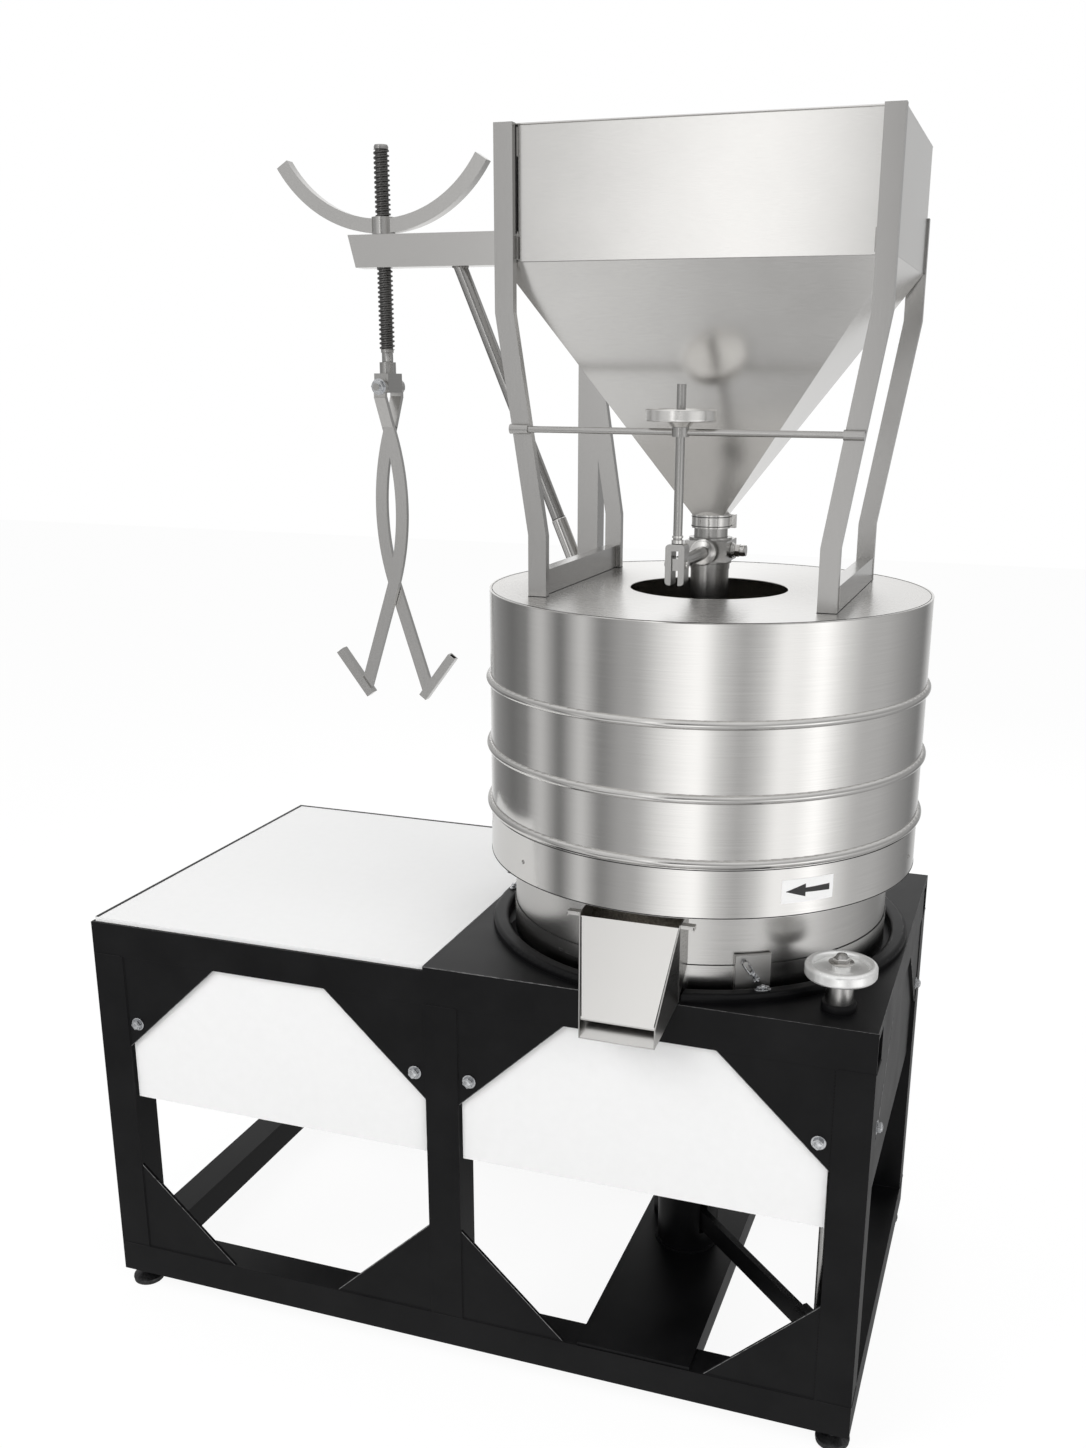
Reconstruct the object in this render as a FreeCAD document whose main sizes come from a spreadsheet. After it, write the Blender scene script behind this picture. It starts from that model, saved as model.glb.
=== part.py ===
"""Stone grain mill: upper runner mill on a table frame, with hopper and stone crane.

Frame of reference: +X to the right along the front of the table, +Y to the rear, +Z up.
The origin lies on the floor under the middle of the machine's outer box.
"""
import FreeCAD, Part
import math
import os
import re
import Sketcher

SIZES = {
    # table frame of square tube
    "table_length": 1400, "table_depth": 745, "table_height": 765, "deck_margin": 1,
    "tube": 60, "tube_wall": 3, "end_plate": 6, "top_thickness": 8, "top_rim": 6, "joint_gap": 1,
    "gusset_width": 188, "gusset_drop": 178, "gusset_inset": 2, "gusset_thickness": 6,
    "panel_thickness": 3, "panel_side_gap": 4, "panel_height": 278,
    "bolt_reach": 9, "bolt_shank": 5, "bolt_head": 9, "bolt_washer": 12, "bolt_inset": 20, "bolt_drop": 130,
    # levelling feet
    "foot_height": 35, "foot_radius": 29, "foot_edge": 9, "foot_top": 18, "stem_radius": 8,
    "foot_nut_radius": 14, "foot_nut": 8,
    # mill deck and lower drum
    "well_gap": 13, "lip_width": 28, "lip_height": 14, "lip_round": 8,
    "notch_gap": 2, "bearer_offset": 190,
    "seat_width": 42, "drum_wall": 3, "drum_band": 1.5,
    "pan_floor": 6, "pan_hole": 60, "seat_thickness": 4,
    "trough_thickness": 6, "window_height": 80, "window_depth": 53,
    # stones, rynd and spindle
    "runner_inset": 4, "trough_width": 38, "stone_gap": 0.5, "runner_height": 200,
    "bed_eye": 75, "runner_eye": 70, "eye_flare": 25, "furrow_width": 14, "furrow_depth": 4,
    "furrow_count": 12, "band_gap": 0.2, "band_thickness": 6, "band_inset": 15,
    "spindle_radius": 22.5, "neck_radius": 16, "running_fit": 0.05, "seat_gap": 0.3,
    "neck_drop": 10, "rynd_rise": 8, "rynd_height": 30, "rynd_hub": 42, "rynd_reach": 115,
    "rynd_width": 40, "pocket_gap": 0.2,
    "sweeper_gap": 4, "sweeper_side_gap": 16, "sweeper_width": 30, "sweeper_bar": 8, "blade_height": 25,
    # bearing column, footstep and drive
    "channel_width": 200, "channel_thickness": 6, "channel_flange": 40,
    "column_radius": 57.5, "column_wall": 6, "bearing_drop": 35,
    "bearing_flange": 8, "footstep_height": 45, "footstep_recess": 20,
    "slot_bottom": 140, "slot_top": 218, "slot_width": 16,
    "pulley_drop": 65, "pulley_width": 50, "column_drop": 25, "driven_radius": 160,
    "motor_pulley_radius": 40,
    "pulley_rim": 12, "pulley_web": 10, "pulley_hub": 42, "motor_inset": 185.5, "belt_width": 40,
    "belt_thickness": 8, "belt_gap": 0.3, "motor_radius": 92, "motor_height": 215, "motor_shaft": 14,
    "motor_flange": 108, "motor_flange_thickness": 12, "mount_half": 125, "mount_thickness": 8,
    "mount_drop": 245,
    "bearer_tube": 40,
    # gap adjustment
    "screw_edge": 72, "screw_radius": 8, "screw_bottom": 150, "lever_thickness": 12,
    "lever_height": 40, "lever_top": 190, "lift_button": 9, "lever_tail": 85, "pivot_radius": 8,
    "lever_end_gap": 26, "nut_half": 20, "nut_front": 14, "nut_half_width": 22, "nut_pin_radius": 5,
    "nut_pin_back": 40,
    "cheek_thickness": 8, "cheek_gap": 0.5, "ear_gap": 1,
    "post_radius": 22, "post_height": 50, "post_foot": 27, "post_collar": 12, "wheel_radius": 56,
    "wheel_rim": 13,
    "wheel_boss": 14.5, "wheel_round": 6,
    "wheel_height": 22, "dome_radius": 11,
    # hood
    "hood_inset": 2.5, "hood_wall": 3,
    "hood_hole": 133, "bead_radius": 7,
    "rim_gap": 4,
    # spout
    "spout_reach": 60, "spout_half": 82, "mouth_half": 62, "spout_wall": 2,
    "throat_inset": 20, "spout_shift": 19, "spout_tab": 22, "tab_depth": 14, "tab_drop": 8,
    "lid_depth": 36, "lid_drop": 12,
    # latches between drum and deck
    "latch_width": 60, "latch_plate": 5, "latch_angle": -61,
    "latch_lever": 46, "latch_pin": 4,
    # hopper stand and hopper
    "stand_half": 300, "stand_foot_half": 247, "stand_half_depth": 208, "leg_width": 30,
    "leg_depth": 15, "bar_height": 40, "bar_depth": 22,
    "hopper_gap": 3, "hopper_rise": 696, "hopper_box": 192, "bend_drop": 73, "rear_leg_drop": 107,
    "sheet": 2, "neck_half": 26, "neck_rise": 122, "bend_rise": 97, "tie_rise": 260,
    "tie_radius": 5, "tie_boss": 13, "ferrule_radius": 7.5, "ferrule_length": 30,
    # feed pipe, valve and feed wheel
    "pipe_radius": 32, "pipe_dip": 20.5, "stud_rise": 69, "pipe_wall": 1.6, "clamp_radius": 32.5,
    "clamp_height": 22, "valve_drop": 58, "valve_rise": 21, "neck_tube": 28, "neck_wall": 2,
    "valve_radius": 36,
    "gland_radius": 19, "gland_length": 26, "ball_radius": 10.95, "lever_bar": 11, "lever_neck": 6,
    "flap_radius": 24, "flap_thickness": 3, "feed_slot": 1.6, "fork_width": 30, "fork_height": 62,
    "fork_pin": 4, "fork_round": 6, "tongue": 10, "feed_rod": 7, "feed_wheel_radius": 53,
    "feed_wheel_height": 18,
    # stone crane
    "crane_rear_inset": 80.5, "crane_side_inset": 62.5, "crane_tube": 40, "socket_flange": 51, "socket_foot": 10,
    "socket_radius": 38, "socket_height": 95, "spigot_radius": 25, "collar_height": 10,
    "arm_height": 59, "arm_beyond": 67, "arm_slant": 15, "crane_wall": 3,
    "brace_radius": 13, "brace_drop": 568, "brace_inner": 264, "lift_radius": 15, "screw_rise": 158,
    "screw_drop": 150, "stem_drop": 23,
    "stem": 11, "swivel_radius": 16, "handle_hub": 22,
    "handle_hub_height": 31, "handle_radius": 244, "handle_width": 26, "handle_thickness": 22,
    "handle_half_angle": 58,
    # stone tongs
    "pivot_drop": 46, "cross_drop": 75, "tong_arc": 521, "tong_half_chord": 159.5, "tong_width": 24,
    "tong_thickness": 10, "tong_gap": 1, "tong_straight": 222, "tong_foot": 112, "tong_foot_bar": 18,
    "tong_foot_angle": 53, "tong_bolt": 7, "tong_eye": 15, "tong_spread": 31, "tong_block_half": 15,
    "tong_neck": 19, "block_drop": 11,
}

# Heights counted up from the table top
LEVELS = {
    # drum, stones and cover
    "drum_seam": 47, "drum_top": 180, "seat_height": 149, "trough_height": 49, "grind_height": 130,
    "skirt_bottom": 141, "skirt_top": 220, "hood_top": 596, "bead_low": 229.5, "bead_middle": 332,
    "bead_high": 446,
    # spout and latches
    "throat_bottom": 48, "throat_top": 138, "lip_bottom": 4, "lip_top": 132, "mouth_bottom": -53,
    "mouth_top": -20, "latch_low": 7, "latch_high": 67,
    # stone crane
    "arm_bottom": 1133,
}

# Sizes that follow from a neighbour's: the mill fills the table's depth, and the heights stack
FOLLOWERS = {
    "mill_edge": "table_depth / 2", "deck_length": "2 * (mill_edge + deck_margin)",
    "hood_radius": "mill_edge - hood_inset", "drum_radius": "hood_radius - seat_width",
    "well_radius": "drum_radius + well_gap", "bed_radius": "drum_radius - trough_width",
    "stone_radius": "bed_radius - runner_inset", "rim_inner": "drum_radius + rim_gap",
    "throat_radius": "drum_radius - throat_inset", "crane_back": "hood_radius - crane_rear_inset",
    "crane_side": "hood_radius - crane_side_inset",
    "panel_bottom": "table_height - top_thickness - tube - panel_side_gap - panel_height",
    "bolt_height": "table_height - top_thickness - tube - bolt_drop",
    "mount_height": "table_height - mount_drop", "pulley_height": "mount_height - pulley_drop",
    "column_top": "pulley_height - column_drop",
    "hopper_top": "hood_top + hopper_rise", "hopper_neck": "hood_top + neck_rise",
    "bend_low": "hood_top + bend_rise", "tie_height": "hood_top + tie_rise",
    "stud_top": "tie_height + stud_rise",
    "pipe_bottom": "grind_height + stone_gap + runner_height - pipe_dip",
    "hopper_seam": "hopper_top - hopper_box", "bend_high": "hopper_seam - bend_drop",
    "rear_leg_top": "hopper_top - rear_leg_drop", "clamp_bottom": "hopper_neck - clamp_height",
    "valve_height": "hopper_neck - valve_drop", "valve_top": "valve_height + valve_rise",
    "valve_bottom": "valve_height - valve_rise",
    "brace_foot": "arm_bottom - brace_drop", "lift_top": "arm_bottom + arm_height + screw_rise",
    "lift_bottom": "arm_bottom - screw_drop", "swivel_top": "lift_bottom - stem_drop",
    "tong_pivot": "swivel_top - pivot_drop", "tong_cross": "tong_pivot - cross_drop",
}

doc = FreeCAD.newDocument("stone_grain_mill")
sheet = doc.addObject("Spreadsheet::Sheet", "sizes")
for row, (alias, size) in enumerate({**SIZES, **LEVELS}.items(), start=1):
    sheet.set(f"A{row}", alias)
    sheet.set(f"B{row}", str(size))
    sheet.setAlias(f"B{row}", alias)
doc.recompute()

# Places that several pieces share
MILL_X = "(table_length / 2 - mill_edge)"
MILL_Y = "((spout_reach - bolt_reach) / 2)"
LEFT = "(-table_length / 2)"
RIGHT = "(table_length / 2)"
FRONT = f"({MILL_Y} - table_depth / 2)"
REAR = f"({MILL_Y} + table_depth / 2)"
DECK_LEFT = f"({RIGHT} - deck_length)"
FRAME_TOP = "(table_height - top_thickness)"
RAIL_TOP = "(foot_height + tube)"
CHANNEL_TOP = f"({RAIL_TOP} + channel_thickness)"
SCREW_X = f"({RIGHT} - screw_edge)"
SCREW_Y = f"({FRONT} + screw_edge)"
MOTOR_X = f"({DECK_LEFT} - motor_inset)"
CRANE_X = f"({MILL_X} - crane_side)"
CRANE_Y = f"({MILL_Y} + crane_back)"
CRANE_REACH = "sqrt(crane_side * crane_side + crane_back * crane_back)"
LIFT_X = f"({CRANE_X} - {CRANE_REACH})"
ARM_TOP = "(arm_bottom + arm_height)"
TIE_Y = f"({MILL_Y} - stand_half_depth - ferrule_radius)"
SPOUT_X = f"({MILL_X} - spout_shift)"
RUNNER_BOTTOM = "(grind_height + stone_gap)"
RYND_BOTTOM = "(grind_height + rynd_rise)"
RYND_TOP = f"({RYND_BOTTOM} + rynd_height)"
CUP_BOTTOM = "(lever_top + lift_button + seat_gap)"
nodes = []


def bind(text):
    """Expression with every size name pointing at the sheet, and every level counted from the table top."""
    def cell(match):
        word = match.group(0)
        if word in FOLLOWERS:
            return f"({bind(FOLLOWERS[word])})"
        if word in LEVELS:
            return f"(sizes.table_height + sizes.{word})"
        return "sizes." + word if word in SIZES else word

    return re.sub(r"[a-z][a-z_]*", cell, str(text))


def value(text):
    """Number that an expression gives now."""
    return float(sheet.evalExpression(bind(text)))


def bound(thing, **properties):
    for name, text in properties.items():
        thing.setExpression(name, bind(text))
    return thing


def place(thing, x="0", y="0", z="0", axis=None, angle=0):
    """Set a thing's place by expressions, after turning it about axis."""
    if axis:
        thing.Placement = FreeCAD.Placement(FreeCAD.Vector(),
                                            FreeCAD.Rotation(FreeCAD.Vector(*axis), angle))
    for letter, text in zip("xyz", (x, y, z)):
        thing.setExpression("Placement.Base." + letter, bind(text))
    return thing


def box(name, x, y, z, long, deep, high):
    return place(bound(doc.addObject("Part::Box", name), Length=long, Width=deep, Height=high), x, y, z)


def round_bar(name, x, y, z, radius, length, direction="z"):
    turn = {"z": (None, 0), "x": ((0, 1, 0), 90), "y": ((1, 0, 0), -90)}[direction]
    bar = bound(doc.addObject("Part::Cylinder", name), Radius=radius, Height=length)
    return place(bar, x, y, z, *turn)


def cut(name, base, *tools):
    tool = tools[0] if len(tools) == 1 else join(name + "_tools", *tools)
    result = doc.addObject("Part::Cut", name)
    result.Base = base
    result.Tool = tool
    return result


def join(name, *things):
    result = doc.addObject("Part::MultiFuse", name)
    result.Shapes = list(things)
    return result


def group(name, things):
    result = doc.addObject("Part::Compound", name)
    result.Links = list(things)
    return result


def node(label, thing):
    thing.Label = label
    nodes.append(thing)
    return thing


def sketch_on(body, name, plane, offset="0"):
    """Empty sketch on one of the body's own origin planes."""
    sketch = body.newObject("Sketcher::SketchObject", name)
    face = next(f for f in body.Origin.OriginFeatures if f.Role == plane)
    sketch.AttachmentSupport = [(face, "")]
    sketch.MapMode = "FlatFace"
    sketch.setExpression("AttachmentOffset.Base.z", bind(offset))
    return sketch


def fix_point(sketch, edge, end, x, y):
    for kind, text in (("DistanceX", x), ("DistanceY", y)):
        number = sketch.addConstraint(Sketcher.Constraint(kind, -1, 1, edge, end, value(text)))
        sketch.setExpression(f"Constraints[{number}]", bind(text))


def draw_outline(sketch, points):
    """Closed outline whose corners are bound to expressions."""
    corners = [FreeCAD.Vector(value(x), value(y), 0) for x, y in points]
    first = sketch.GeometryCount
    count = len(corners)
    for i in range(count):
        sketch.addGeometry(Part.LineSegment(corners[i], corners[(i + 1) % count]), False)
    for i in range(count):
        after = first + (i + 1) % count
        sketch.addConstraint(Sketcher.Constraint("Coincident", first + i, 2, after, 1))
        fix_point(sketch, first + i, 1, *points[i])


def draw_circle(sketch, x, y, radius):
    centre = FreeCAD.Vector(value(x), value(y), 0)
    edge = sketch.addGeometry(Part.Circle(centre, FreeCAD.Vector(0, 0, 1), value(radius)), False)
    fix_point(sketch, edge, 3, x, y)
    number = sketch.addConstraint(Sketcher.Constraint("Radius", edge, value(radius)))
    sketch.setExpression(f"Constraints[{number}]", bind(radius))


def turned(name, outline, x=MILL_X, y=MILL_Y, z="0"):
    """Body turned about its own Z axis from points of radius and height."""
    body = place(doc.addObject("PartDesign::Body", name), x, y, z)
    sketch = sketch_on(body, name + "_section", "XZ_Plane")
    draw_outline(sketch, outline)
    doc.recompute()
    turn = body.newObject("PartDesign::Revolution", name + "_turn")
    turn.Profile = sketch
    turn.ReferenceAxis = (sketch, ["V_Axis"])
    turn.Angle = 360
    return body


def soften(body, name, radius, *edges):
    """Fillet on a turned body's round edges, each given by its radius and height."""
    doc.recompute()
    spots = [(value(reach), value(height)) for reach, height in edges]
    chosen = []
    for number, edge in enumerate(body.Tip.Shape.Edges, start=1):
        if isinstance(edge.Curve, Part.Circle):
            own = (edge.Curve.Radius, edge.Curve.Center.z)
            if any(abs(own[0] - reach) < 0.01 and abs(own[1] - height) < 0.01 for reach, height in spots):
                chosen.append(f"Edge{number}")
    fillet = body.newObject("PartDesign::Fillet", name)
    fillet.Base = (body.Tip if fillet != body.Tip else fillet.BaseFeature, chosen)
    bound(fillet, Radius=radius)
    doc.recompute()
    return body


def plate(name, plane, outline, offset, thickness, x="0", y="0", z="0", circles=()):
    """Body padded from an outline on a plane, from offset along the plane's normal."""
    body = place(doc.addObject("PartDesign::Body", name), x, y, z)
    sketch = sketch_on(body, name + "_outline", plane, offset)
    draw_outline(sketch, outline)
    for circle in circles:
        draw_circle(sketch, *circle)
    doc.recompute()
    pad = body.newObject("PartDesign::Pad", name + "_pad")
    pad.Profile = sketch
    bound(pad, Length=thickness)
    return body


def square_tube(name, x, y, z, length, direction, side="tube", end="0"):
    """Hollow square tube; end closes its first end with a plate of that thickness."""
    outer = {"x": (length, side, side), "y": (side, length, side), "z": (side, side, length)}[direction]
    inside = f"{side} - 2 * tube_wall"
    over = f"{length} + tube_wall - {end}" if end != "0" else f"{length} + 2 * tube_wall"
    start = end if end != "0" else "-tube_wall"
    inner = {"x": (over, inside, inside), "y": (inside, over, inside),
             "z": (inside, inside, over)}[direction]
    corner = [f"{p} + ({start})" if axis == direction else f"{p} + tube_wall" for p,
              axis in zip((x, y, z), "xyz")]
    return cut(name, box(name + "_outer", x, y, z, *outer), box(name + "_inner", *corner, *inner))


def make_frame():
    columns = {"left": LEFT, "middle": DECK_LEFT, "right": f"{RIGHT} - tube"}
    rows = {"front": FRONT, "rear": f"{REAR} - tube"}
    leg_length = f"{FRAME_TOP} - tube - foot_height"
    legs = [square_tube(f"leg_{side}_{row}", x, y, "foot_height", leg_length, "z", end="end_plate")
            for side, x in columns.items() for row, y in rows.items()]
    node("frame_legs", group("frame_legs", legs))
    between = "table_depth - 2 * tube"
    inner_y = f"{FRONT} + tube"
    upper = f"{FRAME_TOP} - tube"
    rails = [square_tube(f"top_rail_{row}", LEFT, y, upper, "table_length", "x") for row, y in rows.items()]
    rails += [square_tube(f"top_cross_{side}", x, inner_y, upper, between, "y") for side,
              x in columns.items()]
    node("top_rails", group("top_rails", rails))
    bays = {"left": (f"{LEFT} + tube", f"{DECK_LEFT} - {LEFT} - tube"),
            "right": (f"{DECK_LEFT} + tube", "deck_length - 2 * tube")}
    rails = [square_tube(f"bottom_rail_{bay}_{row}", x, y, "foot_height", span, "x")
             for bay, (x, span) in bays.items() for row, y in rows.items()]
    rails += [square_tube(f"bottom_cross_{side}", columns[side], inner_y, "foot_height", between, "y")
              for side in ("left", "right")]
    node("bottom_rails", group("bottom_rails", rails))
    make_gussets(bays)
    make_panels(bays)


def make_gussets(bays):
    """Corner plates welded between the tubes, flush near the outer faces."""
    plates = []
    offsets = {"front": f"-({FRONT}) - gusset_inset - gusset_thickness",
               "rear": f"-({REAR}) + gusset_inset"}
    for row, offset in offsets.items():
        for bay, (x, span) in bays.items():
            for side, corner, inward in (("a", x, 1), ("b", f"{x} + {span}", -1)):
                for level, height, down in (("low", RAIL_TOP, 1), ("high", f"{FRAME_TOP} - tube", -1)):
                    outline = [(corner, height), (f"{corner} + {inward} * gusset_width", height),
                               (corner, f"{height} + {down} * gusset_drop")]
                    hole = [(f"{corner} + {inward} * bolt_inset", "bolt_height",
                             "bolt_shank + seat_gap")] if down < 0 else []
                    plates.append(plate(f"gusset_{row}_{bay}_{side}_{level}", "XZ_Plane", outline, offset,
                                        "gusset_thickness", circles=hole))
    for name, offset in (("left", f"{LEFT} + gusset_inset"),
                         ("right", f"{RIGHT} - gusset_inset - gusset_thickness")):
        for end, corner, inward in (("front", f"{FRONT} + tube", 1), ("rear", f"{REAR} - tube", -1)):
            height = f"{FRAME_TOP} - tube"
            outline = [(corner, height), (f"{corner} + {inward} * gusset_width", height),
                       (corner, f"{height} - gusset_drop")]
            hole = [(f"{corner} + {inward} * bolt_inset", "bolt_height", "bolt_shank + seat_gap")]
            plates.append(plate(f"gusset_{name}_{end}", "YZ_Plane", outline, offset, "gusset_thickness",
                                circles=hole))
    node("gussets", group("gussets", plates))


def panel_y(row):
    inset = "(gusset_inset + gusset_thickness)"
    return f"{FRONT} + {inset}" if row == "front" else f"{REAR} - {inset} - panel_thickness"


def make_panels(bays):
    """White guards between the legs, bolted through the upper gussets."""
    front, guards, bolts = [], [], []
    for row, kept in (("front", front), ("rear", guards)):
        for bay, (x, span) in bays.items():
            sheet_part = box(f"panel_{row}_{bay}_sheet", f"{x} + panel_side_gap", panel_y(row),
                             "panel_bottom",
                             f"{span} - 2 * panel_side_gap", "panel_thickness", "panel_height")
            outer = FRONT if row == "front" else REAR
            way = -1 if row == "front" else 1
            holes = []
            for side, bolt_x in (("a", f"{x} + bolt_inset"), ("b", f"{x} + {span} - bolt_inset")):
                bolts.append(panel_bolt(f"bolt_{row}_{bay}_{side}", bolt_x, outer, way, "y"))
                holes.append(round_bar(f"panel_hole_{row}_{bay}_{side}", bolt_x, f"{panel_y(row)} - 1",
                                       "bolt_height", "bolt_shank + seat_gap", "panel_thickness + 2", "y"))
            kept.append(cut(f"panel_{row}_{bay}", sheet_part, *holes))
    depth_in = "(gusset_inset + gusset_thickness)"
    for side, x, way in (("left", f"{LEFT} + {depth_in}", -1),
                         ("right", f"{RIGHT} - {depth_in} - panel_thickness", 1)):
        sheet_part = box(f"panel_{side}_sheet", x, f"{FRONT} + tube + panel_side_gap", "panel_bottom",
                         "panel_thickness", "table_depth - 2 * tube - 2 * panel_side_gap", "panel_height")
        outer = LEFT if side == "left" else RIGHT
        holes = []
        for end, bolt_y in (("a", f"{FRONT} + tube + bolt_inset"), ("b", f"{REAR} - tube - bolt_inset")):
            bolts.append(panel_bolt(f"bolt_{side}_{end}", outer, bolt_y, way, "x"))
            holes.append(round_bar(f"panel_hole_{side}_{end}", f"{x} - 1", bolt_y, "bolt_height",
                                   "bolt_shank + seat_gap", "panel_thickness + 2", "x"))
        guards.append(cut(f"panel_{side}", sheet_part, *holes))
    node("front_panels", group("front_panels", front))
    node("guard_panels", group("guard_panels", guards))
    node("panel_bolts", group("panel_bolts", bolts))


def panel_bolt(name, x, y, way, direction):
    """Washer and head in front of the gusset, shank through gusset and panel, nut behind."""
    def bar(label, radius, start, end):
        low, high = (f"-({end})", f"-({start})") if way < 0 else (start, end)
        length = f"({end}) - ({start})"
        if direction == "y":
            return round_bar(name + label, x, f"{y} + {low}", "bolt_height", radius, length, "y")
        return round_bar(name + label, f"{x} + {low}", y, "bolt_height", radius, length, "x")
    seat = "-gusset_inset"
    back = f"{seat} - gusset_thickness - panel_thickness"
    return join(name, bar("_washer", "bolt_washer", seat, f"{seat} + 2"),
                bar("_head", "bolt_head", f"{seat} + 1", "bolt_reach"),
                bar("_shank", "bolt_shank", f"{back} - 10", f"{seat} + 1"),
                bar("_nut", "bolt_head", f"{back} - 8", back))


def make_table():
    inner = f"{LEFT} + top_rim"
    node("table_top",
         box("table_top", inner, f"{FRONT} + top_rim", FRAME_TOP, f"{DECK_LEFT} - joint_gap - ({inner})",
                          "table_depth - 2 * top_rim", "top_thickness"))
    sheet_plate = box("deck_plate", DECK_LEFT, FRONT, FRAME_TOP, "deck_length", "table_depth",
                      "top_thickness")
    lip_top, lip_outer = "(table_height + lip_height)", "(well_radius + lip_width)"
    lip = turned("deck_lip", [("well_radius", FRAME_TOP), (lip_outer, FRAME_TOP), (lip_outer, lip_top),
                              ("well_radius", lip_top)])
    soften(lip, "deck_lip_round", "lip_round", ("well_radius", lip_top), (lip_outer, lip_top))
    well = round_bar("deck_well", MILL_X, MILL_Y, f"{FRAME_TOP} - 1", "well_radius", "top_thickness + 2")
    hole = round_bar("deck_screw_hole", SCREW_X, SCREW_Y, f"{FRAME_TOP} - 1", "screw_radius + 1",
                     "top_thickness + 2")
    notch = box("deck_lip_notch", f"{SPOUT_X} - spout_half - notch_gap", f"{MILL_Y} - {lip_outer} - 5",
                "table_height",
                "2 * (spout_half + notch_gap)", f"{lip_outer} + 5 - well_radius / 2", "lip_height + 5")
    within = doc.addObject("Part::Common", "deck_ridge_within")
    within.Base = cut("deck_ridge", lip, notch)
    within.Tool = box("deck_outline", DECK_LEFT, FRONT, FRAME_TOP, "deck_length", "table_depth",
                      "top_thickness + lip_height")
    node("mill_deck", join("mill_deck", cut("deck_sheet", sheet_plate, well, hole), within))
    span = "table_depth - 2 * tube"
    bearers = [square_tube(f"deck_bearer_{name}", f"{MILL_X} + {way} * bearer_offset - tube / 2",
                           f"{FRONT} + tube",
                           f"{FRAME_TOP} - tube", span, "y") for name, way in (("left", -1), ("right", 1))]
    for name, x in (("left", f"{MOTOR_X} - mount_half - mount_thickness - bearer_tube"),
                    ("right", f"{MOTOR_X} + mount_half + mount_thickness")):
        bearers.append(square_tube(f"motor_bearer_{name}", x, f"{FRONT} + tube",
                                   f"{FRAME_TOP} - bearer_tube", span, "y", side="bearer_tube"))
    node("cross_bearers", group("cross_bearers", bearers))
    feet = []
    outline = [("0", "0"), ("foot_radius", "0"), ("foot_radius", "foot_edge"),
               ("stem_radius + 5", "foot_top"),
               ("stem_radius", "foot_top"), ("stem_radius", "foot_height - foot_nut"),
               ("foot_nut_radius", "foot_height - foot_nut"), ("foot_nut_radius", "foot_height"),
               ("0", "foot_height")]
    for side, x in (("left", f"{LEFT} + tube / 2"), ("right", f"{RIGHT} - tube / 2")):
        for row, y in (("front", f"{FRONT} + tube / 2"), ("rear", f"{REAR} - tube / 2")):
            feet.append(turned(f"foot_{row}_{side}", outline, x, y))
    node("levelling_feet", group("levelling_feet", feet))


def make_stones():
    """Fixed bedstone and turning runner, each dressed with straight furrows."""
    bed_bottom = f"{FRAME_TOP} + pan_floor"
    bed = turned("bedstone",
                 [("bed_eye", bed_bottom), ("bed_radius", bed_bottom), ("bed_radius", "grind_height"),
                              ("bed_eye", "grind_height")])
    furrows(bed, "bed", "grind_height", False, "bed_eye", "bed_radius")
    node("bedstone", bed)
    top = f"{RUNNER_BOTTOM} + runner_height"
    runner = turned("runner_stone",
                    [("runner_eye", RUNNER_BOTTOM), ("stone_radius", RUNNER_BOTTOM), ("stone_radius", top),
                                     ("runner_eye + eye_flare", top), ("runner_eye", f"{top} - eye_flare")])
    furrows(runner, "runner", RUNNER_BOTTOM, True, "runner_eye", "stone_radius")
    pocket = sketch_on(runner, "rynd_pocket_outline", "XY_Plane", RUNNER_BOTTOM)
    reach, half = "(rynd_reach + pocket_gap)", "(rynd_width / 2 + pocket_gap)"
    draw_outline(pocket,
                 [(f"-{reach}", f"-{half}"), (reach, f"-{half}"), (reach, half), (f"-{reach}", half)])
    doc.recompute()
    slot = runner.newObject("PartDesign::Pocket", "rynd_pocket")
    slot.Profile = pocket
    slot.Reversed = True
    bound(slot, Length=f"{RYND_TOP} - {RUNNER_BOTTOM}")
    node("runner_stone", runner)
    hub = round_bar("rynd_hub", MILL_X, MILL_Y, RYND_BOTTOM, "rynd_hub", "rynd_height")
    bar = box("rynd_bar", f"{MILL_X} - rynd_reach", f"{MILL_Y} - rynd_width / 2", RYND_BOTTOM,
              "2 * rynd_reach", "rynd_width", "rynd_height")
    bore = round_bar("rynd_bore", MILL_X, MILL_Y, f"{RYND_BOTTOM} - 1", "neck_radius + running_fit",
                     "rynd_height + 2")
    node("rynd", cut("rynd", join("rynd_cross", hub, bar), bore))
    make_band()


def furrows(body, name, height, upward, inner, outer):
    """Straight grooves across the grinding face, slanted from past the eye to the rim."""
    sketch = sketch_on(body, name + "_furrow_outline", "XY_Plane", height)
    draw_outline(sketch, [(f"{inner} + 20", "furrow_width"), (f"{outer} + 5", "furrow_width"),
                          (f"{outer} + 5", "2 * furrow_width"), (f"{inner} + 20", "2 * furrow_width")])
    doc.recompute()
    pocket = body.newObject("PartDesign::Pocket", name + "_furrow")
    pocket.Profile = sketch
    pocket.Reversed = upward
    bound(pocket, Length="furrow_depth")
    doc.recompute()
    pattern = body.newObject("PartDesign::PolarPattern", name + "_furrows")
    pattern.Originals = [pocket]
    pattern.Axis = (next(f for f in body.Origin.OriginFeatures if f.Role == "Z_Axis"), [""])
    pattern.Angle = 360
    bound(pattern, Occurrences="furrow_count")
    body.Tip = pattern
    doc.recompute()


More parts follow.
